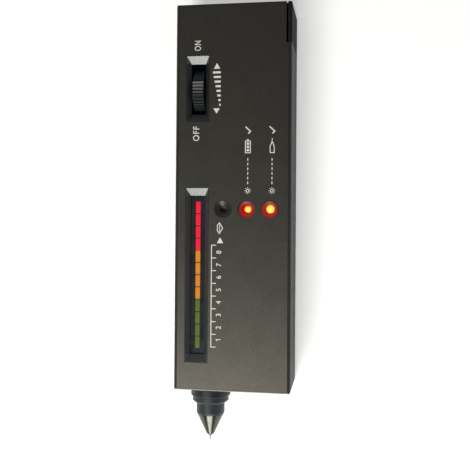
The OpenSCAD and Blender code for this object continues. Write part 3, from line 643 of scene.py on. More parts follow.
@dataclass(frozen=True)
class SolderMask(Finish):
    """Green resin over copper tracks, which stand a little proud and show through it."""

    track: str = "#4C8A52"
    track_mm: float = 1.27
    track_from: float = 0.6
    break_mm: float = 7.0
    break_from: float = 0.5

    def tracks(self, tree: bpy.types.NodeTree, point: Socket) -> Socket:
        """Makes the tracks, side by side across X and broken up at random.

        Args:
            tree: the material's node tree.
            point: the object coordinates.

        Returns:
            The socket of a mask that is 1 on the tracks.
        """
        lines = add(tree, "ShaderNodeTexWave", {"Vector": point, "Scale": WAVE_LENGTH / (self.track_mm * MM)},
                    wave_type="BANDS", bands_direction=Axis.X.name).outputs[1]
        places = add(tree, "ShaderNodeTexNoise",
                     {"Vector": point, "Scale": scale_of(self.break_mm), "Detail": 0.0}).outputs[0]
        line = add(tree, "ShaderNodeMath", {0: lines, 1: self.track_from}, operation="GREATER_THAN").outputs[0]
        place = add(tree, "ShaderNodeMath", {0: places, 1: self.break_from}, operation="GREATER_THAN").outputs[0]
        return add(tree, "ShaderNodeMath", {0: line, 1: place}, operation="MULTIPLY").outputs[0]

    def colour(self, tree: bpy.types.NodeTree, point: Socket) -> Socket:
        """Makes the green, paler over the tracks."""
        plain = super().colour(tree, point)
        return add(tree, "ShaderNodeMix", {0: self.tracks(tree, point), 6: plain, 7: linear(self.track)},
                   data_type="RGBA").outputs[2]

    def height(self, tree: bpy.types.NodeTree, point: Socket) -> Socket:
        """Makes the tracks' height."""
        return self.tracks(tree, point)


@cache
def material_of(finish: Finish) -> bpy.types.Material:
    """Builds a finish's material once, and gives the same one after that."""
    return finish.build()


def dress(finish: Finish, *nodes: str) -> list[str]:
    """Puts a finish on CAD nodes.

    Args:
        finish: the finish.
        *nodes: the nodes' names.

    Returns:
        The nodes' names, for the log.
    """
    for name in nodes:
        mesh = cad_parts[name].data
        mesh.materials.clear()
        mesh.materials.append(material_of(finish))
    return list(nodes)


def link(name: str, mesh: bpy.types.Mesh, finish: Finish) -> bpy.types.Object:
    """Makes a finished mesh a piece that rides on the pen.

    Args:
        name: the piece's name.
        mesh: its mesh, with its place in its vertices.
        finish: its finish.

    Returns:
        The piece.
    """
    mesh.name = name
    mesh.materials.clear()
    mesh.materials.append(material_of(finish))
    piece = bpy.data.objects.new(name, mesh)
    bpy.context.scene.collection.objects.link(piece)
    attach(piece, "pen")
    return piece


def solid_mesh(name: str, shape: bmesh.types.BMesh) -> bpy.types.Mesh:
    """Turns a shape's faces outwards and makes it a mesh.

    Args:
        name: the mesh's name.
        shape: the shape, which is freed.

    Returns:
        The mesh.
    """
    bmesh.ops.recalc_face_normals(shape, faces=shape.faces[:])
    mesh = bpy.data.meshes.new(name)
    shape.to_mesh(mesh)
    shape.free()
    return mesh


def flatten(made: bpy.types.Object) -> bpy.types.Mesh:
    """Turns a curve, a text or the carrier of a geometry tree into a plain mesh.

    Args:
        made: the object, which is removed.

    Returns:
        The mesh.
    """
    bpy.context.scene.collection.objects.link(made)
    graph = bpy.context.evaluated_depsgraph_get()
    mesh = bpy.data.meshes.new_from_object(made.evaluated_get(graph), depsgraph=graph)
    bpy.data.objects.remove(made)
    return mesh


def new_tree(title: str, sockets: Sequence[tuple[str, str]]) -> bpy.types.GeometryNodeTree:
    """Makes an empty geometry tree with named inputs.

    Args:
        title: the tree's name.
        sockets: the name and the kind of each input.

    Returns:
        The tree.
    """
    tree = bpy.data.node_groups.new(title, "GeometryNodeTree")
    tree.interface.new_socket("Geometry", in_out="OUTPUT", socket_type="NodeSocketGeometry")
    for name, kind in sockets:
        tree.interface.new_socket(name, in_out="INPUT", socket_type=f"NodeSocket{kind}")
    return tree


def bake(tree: bpy.types.GeometryNodeTree, values: dict[str, Setting]) -> bpy.types.Mesh:
    """Runs a geometry tree and gives its result as a plain mesh.

    Args:
        tree: the tree.
        values: the value of each input, by its name.

    Returns:
        The mesh.
    """
    carrier = bpy.data.objects.new(tree.name, bpy.data.meshes.new(tree.name))
    modifier = carrier.modifiers.new(tree.name, "NODES")
    modifier.node_group = tree
    for item in tree.interface.items_tree:
        if item.in_out == "INPUT":
            modifier[item.identifier] = values[item.name]
    return flatten(carrier)


WHEEL_WINDOW = Window(y=WHEEL_Y, half_l=11.36)
BAR_WINDOW = Window(y=-16.95, half_l=30.06)
# Where the bevels round the wheel, and the slot below them, start and end under the panel
WHEEL_BEVELS, WHEEL_SLOT = (-0.1, 2.1), (2.0, 10.0)
# The rounded edge over the nose, as wide as the straight part of the case's end: painted pale grey as a highlight,
# under lacquer that also mirrors the light
NOSE_RIM = Zone((0.0, NOSE_Y, PANEL_Z), (19.6, 0.5, 0.5), "#83827A")

# ABS with a spark-eroded grain: a soft neutral sheen. Smoother blue-black bevels lie in the windows. The light bar's
# bevels are painted paler than the wheel's, and palest at their lower end, as painted light that grows towards the
# nose. The wheel's slot is painted pale, as painted light in its shade. The windows' upper ends are lacquered and
# mirror the light. The edge over the nose is lacquered too, and painted pale as a highlight. The cones round the lamps
# glow red as painted lamp light
CASE_FRONT = MouldedCase(
    "ABS moulded, fine grain and polished windows", "#161618", "#1E1E20", 0.62,
    mottle_mm=9.0, grain_mm=0.3, grain_um=4.0, gloss_spread=0.02, ior=1.54, specular=0.45, coat_roughness=0.25,
    glow_strength=1.0,
    zones=(
        WHEEL_WINDOW.zone("#1B2124", gloss=0.5, lacquer=0.0, depth=WHEEL_BEVELS),
        # Painted light: the slot's walls are pale, to lift them out of their shade
        WHEEL_WINDOW.zone("#4E565B", gloss=0.6, lacquer=0.0, depth=WHEEL_SLOT),
        WHEEL_WINDOW.zone("#3C4246", stretch=Stretch.UPPER_END),
        # Painted light: the bar's bevels are paler than the wheel's, and palest at their lower end towards the nose
        BAR_WINDOW.zone("#383B3B", gloss=0.5, lacquer=0.0),
        BAR_WINDOW.zone("#4B5254", gloss=0.5, lacquer=0.0, stretch=Stretch.LOWER_END),
        BAR_WINDOW.zone("#464A4B", stretch=Stretch.UPPER_END),
        NOSE_RIM,
        ConicalHole(SOUND_X).zone("#161618", gloss=0.4),
        ConicalHole(BATTERY_LAMP_X).zone("#09090A", gloss=0.55),
        ConicalHole(READY_LAMP_X).zone("#09090A", gloss=0.55),
    ),
    # The painted glow centres a little beside the lamps' middles
    lamps=((BATTERY_LAMP_X + 0.3, LAMP_Y - 0.2), (READY_LAMP_X - 0.1, LAMP_Y - 0.3)),
    # Black at the lamps' reach, so that nothing but the cones glows
    lamp_light=(
        (0.55, "#760A02"), (0.62, "#B41402"), (0.72, "#9C0A06"), (0.82, "#86080E"), (0.92, "#720A16"),
        (0.97, "#500812"), (1.0, "#000000"),
    ),
)
# The same ABS with the grain all over, as on the back and the sides: even and soft
CASE_REAR = Finish(
    "ABS moulded, fine grain", "#161618", "#1E1E20", 0.62, mottle_mm=9.0, grain_mm=0.3, grain_um=4.0,
    gloss_spread=0.02, ior=1.54, specular=0.45,
)
# ABS from another tool: blacker and duller, as the sliding cover looks beside the case
COVER_ABS = Finish(
    "ABS moulded, matt", "#0B0C0D", "#111213", 0.85, mottle_mm=12.0, grain_mm=0.35, grain_um=3.0, ior=1.54,
    specular=0.25,
)
# Aluminium sheet under stoved metallic paint: warm grey, with a broad soft sheen that follows the light
PLATE_PAINT = PaintedSheet(
    "aluminium sheet, metallic paint", "#5F5C55", "#615E57", 0.42, metallic=1.0,
    mottle_mm=14.0, grain_mm=0.9, grain_um=2.5, gloss_spread=0.015,
)
# Screen-printed ink: an opaque warm white with a dry surface
INK = Finish("screen ink, off-white", "#ECEAE2", "#F4F2EA", 0.55, mottle_mm=1.0, grain_mm=0.12, grain_um=1.5)
# Glossy ABS of the holder: darker than the window round it, with clear reflections of the lights
HOLDER_ABS = Finish(
    "ABS moulded, glossy", "#171A1D", "#1F2327", 0.26, mottle_mm=5.0, grain_mm=0.5, grain_um=1.5, ior=1.54,
)
# Red epoxy with a lit die a little off its middle: a small yellow core in a red dome
BATTERY_LAMP_RESIN = LitLamp(
    "epoxy cast, red, lit", "#8A1008", "#A81810", 0.12, ior=1.55, mottle_mm=1.0, grain_um=0.5, coat=0.3,
    glow_strength=0.88, centre_mm=(BATTERY_LAMP_X + 0.45, LAMP_Y - 0.1), radius_mm=1.3,
)
# The same epoxy over a stronger die: a wide yellow core
READY_LAMP_RESIN = LitLamp(
    "epoxy cast, red, lit bright", "#8A1008", "#A81810", 0.12, ior=1.55, mottle_mm=1.0, grain_um=0.5, coat=0.3,
    glow_strength=1.0, centre_mm=(READY_LAMP_X, LAMP_Y),
)
# Undyed nylon: ivory and slightly waxy
NYLON = Finish(
    "nylon moulded, natural", "#D2CBB8", "#E0DACA", 0.5, mottle_mm=2.0, grain_mm=0.3, grain_um=4.0, ior=1.53,
)
# PBT of the buzzer's case: a dull brown, lightened as painted light so that it shows faintly in the shaded sound hole
BUZZER_PBT = Finish("PBT moulded, brown, painted light", "#564C4A", "#605654", 0.6, mottle_mm=2.0, grain_mm=0.25, grain_um=5.0)
# ABS that fingers turn: blue-black between the ribs, lifted as painted light in the slot's shade, and pale on the rib
# tops along one stretch from wear and a painted highlight
WHEEL_ABS = WornRim(
    "ABS moulded, handled, painted highlight", "#30363B", "#95948F", 0.7, mottle_mm=1.6, grain_mm=0.2, grain_um=3.0, gloss_spread=0.06,
    ior=1.54, specular=0.2, axis_mm=(WHEEL_Y, WHEEL_Z),
)
# Phenolic: near-black brown with a coarse dry grain
PHENOLIC = Finish("phenolic moulded, dark", "#1E1A17", "#2A2521", 0.55, mottle_mm=1.2, grain_mm=0.2, grain_um=8.0)
# Solder mask over copper: glossy green, paler along the tracks
BOARD = SolderMask("glass epoxy board, green solder mask", "#1F5A30", "#2A6A3A", 0.3, mottle_mm=6.0, grain_um=30.0)
# Moulded epoxy of the chips: a sandy black
CHIP = Finish("epoxy moulded, black", "#19191B", "#242426", 0.6, mottle_mm=1.0, grain_mm=0.15, grain_um=8.0)
# Shrunk PVC of the capacitors: a smooth deep blue
CAN_SLEEVE = Finish("PVC shrink sleeve, blue", "#1F2F60", "#2A3C74", 0.32, mottle_mm=3.0, grain_mm=0.6, grain_um=4.0)
# PBT of the preset: a light blue, half glossy
TRIMMER = Finish("PBT moulded, blue", "#2E5296", "#3C62A8", 0.4, mottle_mm=2.0, grain_mm=0.3, grain_um=4.0)
# Glass-filled nylon of the sleeve: blue-black, with a soft sheen along its steps
NOSE = Finish(
    "glass-filled nylon moulded, blue-black", "#1D2529", "#273034", 0.46, mottle_mm=3.0, grain_mm=0.25, grain_um=2.5,
    ior=1.53, specular=0.42,
)
# The same nylon from another batch, as the collar that the case halves clamp: blacker
COLLAR = Finish(
    "glass-filled nylon moulded, black", "#13161B", "#1B1F24", 0.46, mottle_mm=3.0, grain_mm=0.25, grain_um=2.5,
    ior=1.53, specular=0.42,
)
# Turned brass under black nickel: a dark mirror, whose fine rings draw the reflections out into streaks
NICKEL = TurnedMetal(
    "brass turned, black nickel plated", "#4D504C", "#565955", 0.23, metallic=1.0, mottle_mm=3.0, grain_um=0.25,
)
# Tinned copper of the needle: pale and a little dull
COPPER = TurnedMetal(
    "copper drawn, tinned", "#C6C5C0", "#DCDBD6", 0.3, metallic=1.0, mottle_mm=0.8, ring_mm=0.3, grain_um=0.8,
)
# Bare turned brass: yellow, with bright rings
BRASS = TurnedMetal("brass turned", "#A8883E", "#C4A45A", 0.28, metallic=1.0, mottle_mm=2.0, grain_um=1.5)
# Drawn spring steel: mid grey with a long soft glint on each turn
SPRING_STEEL = Finish(
    "spring steel drawn", "#7C7E80", "#96989A", 0.3, metallic=1.0, mottle_mm=0.6, grain_mm=0.1, grain_um=1.0,
)
# Zinc plate on steel: a cool light grey
ZINC = Finish(
    "steel, zinc plated", "#9A9C9C", "#B6B8B6", 0.34, metallic=1.0, mottle_mm=0.8, grain_mm=0.12, grain_um=2.0,
)
# Open-celled foam: a matt dark grey, speckled by its pores
FOAM = Finish(
    "polyurethane foam, open cells", "#232325", "#3A3A3D", 0.9, mottle_mm=0.5, grain_mm=0.35, grain_um=120.0,
)
# Soft vinyl of the battery snap: black, half matt
VINYL = Finish("vinyl moulded, black", "#141415", "#1E1E20", 0.5, mottle_mm=2.0, grain_mm=0.3, grain_um=4.0)
# PVC on wire, in three colours: smooth, with a thin bright line along each lead
LEAD_RED = Finish("PVC insulation, red", "#A01816", "#BC2622", 0.42, mottle_mm=1.5, grain_mm=0.4, grain_um=3.0)
LEAD_BLACK = Finish("PVC insulation, black", "#101011", "#1B1B1C", 0.42, mottle_mm=1.5, grain_mm=0.4, grain_um=3.0)
LEAD_GREY = Finish("PVC insulation, grey", "#8C8878", "#A8A494", 0.42, mottle_mm=1.5, grain_mm=0.4, grain_um=3.0)


@dataclass
class CaseShell:
    """The two case halves, the sliding battery cover with its foam strip, and the case screws."""

    def dress(self) -> list[str]:
        """Puts the case's finishes on.

        Returns:
            The nodes' names.
        """
        return (
            dress(CASE_FRONT, "front_case")
            + dress(CASE_REAR, "rear_case")
            + dress(COVER_ABS, "battery_cover")
            + dress(FOAM, "cover_pad")
            + dress(ZINC, "case_screws")
        )


@dataclass(frozen=True)
class LensTint:
    """The colours of one kind of lens: its light at the middle and at the ends, and the two of its plastic."""

    light: str
    light_edge: str
    deep: str
    pale: str


LENS_TINTS = {
    LightColour.RED: LensTint("#F01434", "#D4112B", "#3A0810", "#480C16"),
    LightColour.AMBER: LensTint("#D4811A", "#BE7016", "#3A2408", "#4A300C"),
    LightColour.GREEN: LensTint("#546420", "#495919", "#1E2008", "#282A10"),
}


@dataclass
class LightBar:
    """The holder and its twelve lights, four of each colour; sizes in millimetres."""

    lights_per_colour: int = 4
    edge: float = 0.16
    edge_steps: int = 3
    edge_profile: float = 0.5
    pitch: float = 4.27

    def finish(self, colour: LightColour) -> Finish:
        """Gives a colour's lens.

        Args:
            colour: the light's colour.

        Returns:
            The finish of its lenses.
        """
        low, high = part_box("light_red_1")
        tint = LENS_TINTS[colour]
        # Acrylic with a diffuser in it: an even glow that dims towards the ends of each lens
        return LitLens(
            f"acrylic moulded, diffusing {colour.value}", tint.deep, tint.pale, 0.3, ior=1.49, mottle_mm=1.5,
            grain_mm=0.2, grain_um=1.5, glow_strength=1.0, light=tint.light, light_edge=tint.light_edge,
            pitch_mm=self.pitch, first_mm=(low.y + high.y) / 2 / MM,
        )

    def lens(self, node: str) -> bpy.types.Mesh:
        """Builds one lens: a block with rounded moulded edges, in the space of its node.

        Args:
            node: the CAD node that it stands for.

        Returns:
            The lens's mesh.
        """
        low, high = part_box(node)
        shape = bmesh.new()
        place = Matrix.Translation((low + high) / 2) @ Matrix.Diagonal((*(high - low), 1.0))
        bmesh.ops.create_cube(shape, size=1.0, matrix=place)
        bmesh.ops.bevel(shape, geom=shape.edges[:], offset=self.edge * MM, segments=self.edge_steps,
                        profile=self.edge_profile, affect="EDGES")
        return solid_mesh(node, shape)

    def build(self) -> list[str]:
        """Builds the lenses and dresses the holder.

        Returns:
            The pieces' names.
        """
        names = dress(HOLDER_ABS, "light_holder")
        for colour in LightColour:
            for number in range(1, self.lights_per_colour + 1):
                node = f"light_{colour.value}_{number}"
                piece = link(f"{colour.value}_lens_{number}", self.lens(node), self.finish(colour))
                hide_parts(node)
                names.append(piece.name)
        return names


@dataclass
class LampRow:
    """The sound hole's buzzer and the two lamps on their spacers."""

    def dress(self) -> list[str]:
        """Puts the finishes of the row on.

        Returns:
            The nodes' names.
        """
        return (
            dress(BATTERY_LAMP_RESIN, "battery_lamp")
            + dress(READY_LAMP_RESIN, "ready_lamp")
            + dress(NYLON, "lamp_spacers")
            + dress(BUZZER_PBT, "buzzer")
        )


@dataclass
class VolumeControl:
    """The ribbed wheel with the potentiometer that it turns."""

    def dress(self) -> list[str]:
        """Puts the finishes of the control on.

        Returns:
            The nodes' names.
        """
        return (
            dress(WHEEL_ABS, "volume_wheel")
            + dress(PHENOLIC, "potentiometer")
            + dress(BOARD, "pot_board")
            + dress(LEAD_GREY, "pot_leads")
        )


@dataclass
class Probe:
    """The nose with its sprung needle, and the leads behind it; sizes in millimetres.

    The cone is turned anew, with a thin skirt over the sleeve's taper, because the metal starts part way up it.
    The spring is wound anew.
    """

    steps: int = 96
    sharp_deg: float = 12.0
    seat_r: float = 4.25
    taper_rise: float = 0.473
    skirt_l: float = 1.0
    skirt_gap: float = 0.02
    skirt_t: float = 0.05
    seat_gap: float = 0.05
    tail_r: float = 2.95
    tail_l: float = 4.0
    cavity_r: float = 2.0
    cavity_l: float = 2.8
    bore_r: float = 0.45
    tip_r: float = 1.4
    end_r: float = 0.65
    end_l: float = 0.7
    wire_d: float = 0.36
    wire_sides: int = 10
    turns: int = 8
    turn_steps: int = 24
    travel: float = 1.5

    def profile(self, seat: float, tip: float) -> Loop:
        """Gives the cone's closed outline as radius and place along Y.

        Args:
            seat: where the sleeve ends.
            tip: where the cone ends.

        Returns:
            The outline's points.
        """
        root, inner = seat + self.skirt_l, self.seat_r + self.skirt_l * self.taper_rise + self.skirt_gap
        return [
            (self.cavity_r, seat + self.tail_l), (self.tail_r, seat + self.tail_l),
            (self.tail_r, seat - self.seat_gap), (self.seat_r + self.skirt_gap, seat - self.seat_gap),
            (inner, root), (inner + self.skirt_t, root), (self.tip_r, tip + self.end_l), (self.end_r, tip),
            (self.bore_r, tip), (self.bore_r, seat - self.cavity_l), (self.cavity_r, seat - self.cavity_l),
        ]

    def cone(self) -> bpy.types.Object:
        """Turns the metal cone round the axis of the one that it stands for.

        Returns:
            The cone.
        """
        low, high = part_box("tip_cone")
        axis = ((low.x + high.x) / 2, 0.0, (low.z + high.z) / 2)
        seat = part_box("nose_sleeve")[0].y
        shape = bmesh.new()
        rim = [shape.verts.new((axis[0] + radius * MM, y * MM, axis[2]))
               for radius, y in self.profile(seat / MM, low.y / MM)]
        edges = [shape.edges.new((rim[k - 1], rim[k])) for k in range(len(rim))]
        bmesh.ops.spin(shape, geom=rim + edges, cent=axis, axis=(0, 1, 0), angle=math.tau, steps=self.steps,
                       use_merge=True)
        bmesh.ops.remove_doubles(shape, verts=shape.verts[:], dist=MICRON)
        for face in shape.faces:
            face.smooth = True
        mesh = solid_mesh("metal_cone", shape)
        mesh.set_sharp_from_angle(angle=math.radians(self.sharp_deg))
        piece = link("metal_cone", mesh, NICKEL)
        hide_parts("tip_cone")
        return piece

    def wire_tree(self) -> bpy.types.GeometryNodeTree:
        """Builds the tree of a wire wound round an axis along Y, from its foot upwards.

        Returns:
            The tree.
        """
        tree = new_tree("wound wire", (
            ("Steps", "Int"), ("Turns", "Float"), ("Coil Radius", "Float"), ("Height", "Float"),
            ("Wire Radius", "Float"), ("Sides", "Int"), ("Foot", "Vector"), ("Steel", "Material"),
        ))
        given = add(tree, "NodeGroupInput").outputs
        coil = add(tree, "GeometryNodeCurveSpiral", {
            "Resolution": given["Steps"], "Rotations": given["Turns"], "Start Radius": given["Coil Radius"],
            "End Radius": given["Coil Radius"], "Height": given["Height"],
        })
        section = add(tree, "GeometryNodeCurvePrimitiveCircle",
                      {"Resolution": given["Sides"], "Radius": given["Wire Radius"]})
        wire = add(tree, "GeometryNodeCurveToMesh",
                   {"Curve": coil.outputs[0], "Profile Curve": section.outputs[0], "Fill Caps": True})
        laid = add(tree, "GeometryNodeTransform", {
            "Geometry": wire.outputs[0], "Translation": given["Foot"], "Rotation": (-math.pi / 2, 0.0, 0.0),
        })
        smooth = add(tree, "GeometryNodeSetShadeSmooth", {"Geometry": laid.outputs[0]})
        real = add(tree, "GeometryNodeRealizeInstances", {"Geometry": smooth.outputs[0]})
        dressed = add(tree, "GeometryNodeSetMaterial", {"Geometry": real.outputs[0], "Material": given["Steel"]})
        add(tree, "NodeGroupOutput", {"Geometry": dressed.outputs[0]})
        return tree

    def spring(self) -> bpy.types.Object:
        """Winds the spring between the plunger's shoulder and its seat.

        Returns:
            The spring.
        """
        low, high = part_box("probe_spring")
        middle, wire_r = (low + high) / 2, self.wire_d / 2 * MM
        mesh = bake(self.wire_tree(), {
            "Steps": self.turn_steps, "Turns": float(self.turns), "Coil Radius": (high.x - low.x) / 2 - wire_r,
            "Height": high.y - low.y - 2 * wire_r, "Wire Radius": wire_r, "Sides": self.wire_sides,
            "Foot": (middle.x, low.y + wire_r, middle.z), "Steel": material_of(SPRING_STEEL),
        })
        piece = link("coil_spring", mesh, SPRING_STEEL)
        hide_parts("probe_spring")
        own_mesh(piece)
        return piece

    def build(self) -> list[str]:
        """Turns the cone, winds the spring and puts the probe's finishes on.

        Returns:
            The pieces' names.
        """
        return (
            [self.cone().name, self.spring().name]
            + dress(COLLAR, "nose_collar")
            + dress(NOSE, "nose_sleeve")
            + dress(COPPER, "probe_needle")
            + dress(BRASS, "probe_plunger")
            + dress(NYLON, "spring_seat")
            + dress(LEAD_GREY, "probe_leads")
        )


@dataclass
class PowerPack:
    """The battery in its plain jacket, its snap and its leads; sizes in millimetres."""

    terminal_h: float = 2.9
    rim: float = 1.2
    shoulder: float = 14.0

    def dress(self) -> list[str]:
        """Puts the finishes of the power pack on.

        Returns:
            The nodes' names.
        """
        low, high = (corner.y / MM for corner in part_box("battery"))
        body = low + self.terminal_h
        # Lacquered steel with bare terminals and rims: a copper-coloured shoulder over a dark body
        jacket = Banded(
            "steel jacket, plain lacquer", "#2C3238", "#3A4650", 0.3, metallic=0.5, mottle_mm=6.0, grain_um=2.0,
            span_mm=(low, high), bands=(
                (low, "#B8B6AE"), (body, "#8E8A80"), (body + self.rim, "#A87A46"),
                (body + self.shoulder, "#2E343A"), (high - self.rim, "#8E8A80"),
            ),
        )
        return (
            dress(jacket, "battery")
            + dress(VINYL, "battery_snap")
            + dress(LEAD_RED, "battery_lead_red")
            + dress(LEAD_BLACK, "battery_lead_black")
        )


@dataclass
class CircuitBoard:
    """The board with what stands on it; the resistors' bands start at places from their middles, in millimetres."""

    bands: tuple[tuple[float, str], ...] = (
        (-2.5, "#C9AE7C"), (-1.5, "#6A3A1C"), (-1.0, "#C9AE7C"), (-0.4, "#1A1A1A"), (0.1, "#C9AE7C"),
        (0.7, "#B03020"), (1.2, "#C9AE7C"), (2.5, "#A9ABAC"),
    )

    def dress(self) -> list[str]:
        """Puts the finishes of the board on.

        Returns:
            The nodes' names.
        """
        low, high = (corner.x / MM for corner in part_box("resistors"))
        middle = (low + high) / 2
        # Lacquer over a film on ceramic: a half-glossy tan body with three coloured bands, between tinned leads
        resistor = Banded(
            "lacquered film resistor", "#C9AE7C", "#C9AE7C", 0.4, mottle_mm=0.8, grain_mm=0.3, grain_um=3.0,
            axis=Axis.X, span_mm=(low, high),
            bands=((low, "#A9ABAC"), *((middle + start, colour) for start, colour in self.bands)),
        )
        return (
            dress(BOARD, "circuit_board")
            + dress(CHIP, "driver_chip", "amplifier_chip")
            + dress(CAN_SLEEVE, "capacitors")
            + dress(resistor, "resistors")
            + dress(TRIMMER, "trimmer")
            + dress(NYLON, "probe_header")
            + dress(ZINC, "board_screws")
        )


def offset_line(points: Loop, width: float, closed: bool) -> list[Loop]:
    """Gives a line of points a width, with mitred corners.

    Args:
        points: the line's points.
        width: its width.
        closed: whether it ends where it starts.

    Returns:
        One outline of an open line, or the outer and the inner one of a closed line.
    """
    count = len(points)
    left: list[tuple[float, float]] = []
    right: list[tuple[float, float]] = []
    for i, (u, v) in enumerate(points):
        before = points[i - 1] if closed or i > 0 else None
        after = points[(i + 1) % count] if closed or i < count - 1 else None
        normals = []
        for a, b in ((before, (u, v)), ((u, v), after)):
            if a is not None and b is not None:
                way = Vector((b[0] - a[0], b[1] - a[1])).normalized()
                normals.append(Vector((-way.y, way.x)))
        mitre = sum(normals, Vector((0.0, 0.0))) / len(normals)
        mitre = mitre / mitre.length_squared * width / 2
        left.append((u + mitre.x, v + mitre.y))
        right.append((u - mitre.x, v - mitre.y))
    return [left, right[::-1]] if closed else [left + right[::-1]]


def ring(centre: tuple[float, float], radius: float, width: float, steps: int = 32) -> list[Loop]:
    """Gives the two outlines of a ring.

    Args:
        centre: the ring's centre.
        radius: its radius at the middle of its width.
        width: its width.
        steps: how many points each outline has.

    Returns:
        The outlines.
    """
    angles = [math.tau * k / steps for k in range(steps)]
    points = [(centre[0] + radius * math.cos(angle), centre[1] + radius * math.sin(angle)) for angle in angles]
    return offset_line(points, width, True)


def block(u0: float, v0: float, u1: float, v1: float) -> Loop:
    """Gives the outline of an upright rectangle."""
    return [(u0, v0), (u1, v0), (u1, v1), (u0, v1)]


@dataclass(frozen=True)
class BarRow:
    """A row of printed bars, whose lengths go evenly from a first to a last one; sizes in millimetres."""

    count: int
    x: float
    from_nose: float
    pitch: float
    thickness: float
    lengths: tuple[float, float]
    side: Side = Side.RIGHT


@dataclass(frozen=True)
class Word:
    """A printed word: the height of its capitals, how far its strokes grow, and its length or None for its own."""

    text: str
    height: float
    bold: float
    length: Optional[float] = None


@dataclass(frozen=True)
class LampSigns:
    """The signs above the lamps, each from its lower left corner; sizes in millimetres."""

    stroke: float = 0.3
    lamp_centre: tuple[float, float] = (1.1, 1.1)
    lamp_r: float = 0.5
    lamp_stroke: float = 0.26
    ray_count: int = 8
    ray_reach: tuple[float, float] = (0.82, 1.12)
    ray_stroke: float = 0.22
    dash_count: int = 6
    dash_pitch: float = 1.6
    dash: tuple[float, float, float, float] = (0.0, 0.95, 0.9, 1.25)
    case: tuple[float, float, float, float] = (0.15, 0.25, 4.15, 1.95)
    pole: tuple[float, float, float, float] = (4.42, 0.75, 4.8, 1.45)
    cell_count: int = 3
    cell_pitch: float = 1.12
    cell: tuple[float, float, float, float] = (0.62, 0.68, 1.42, 1.52)
    nose: Loop = ((0.15, 0.4), (2.3, 0.4), (4.0, 1.1), (2.3, 1.8), (0.15, 1.8))
    needle: tuple[float, float, float, float] = (4.35, 0.97, 5.1, 1.23)
    tick_line: Loop = ((0.2, 1.0), (1.0, 0.25), (2.6, 2.0))
    tick_stroke: float = 0.42

    def row(self, first: tuple[float, float, float, float], count: int, pitch: float) -> list[Loop]:
        """Gives equal rectangles side by side.

        Args:
            first: the first one's two corners.
            count: how many there are.
            pitch: the step from one to the next.

        Returns:
            Their outlines.
        """
        u0, v0, u1, v1 = first
        return [block(u0 + pitch * k, v0, u1 + pitch * k, v1) for k in range(count)]

    def lamp(self) -> list[Loop]:
        """Gives the sign of a shining lamp.

        Returns:
            Its outlines.
        """
        loops = ring(self.lamp_centre, self.lamp_r, self.lamp_stroke)
        for k in range(self.ray_count):
            angle = math.tau * k / self.ray_count
            way = Vector((math.cos(angle), math.sin(angle)))
            near, far = (Vector(self.lamp_centre) + way * reach for reach in self.ray_reach)
            loops += offset_line([tuple(near), tuple(far)], self.ray_stroke, False)
        return loops

    def leader(self) -> list[Loop]:
        """Gives a dashed line."""
        return self.row(self.dash, self.dash_count, self.dash_pitch)

    def battery(self) -> list[Loop]:
        """Gives the sign of a full battery."""
        full = self.row(self.cell, self.cell_count, self.cell_pitch)
        return offset_line(block(*self.case), self.stroke, True) + [block(*self.pole)] + full

    def probe(self) -> list[Loop]:
        """Gives the sign of a probe with its needle."""
        return offset_line(self.nose, self.stroke, True) + [block(*self.needle)]

    def tick(self) -> list[Loop]:
        """Gives a tick."""
        return offset_line(self.tick_line, self.tick_stroke, False)


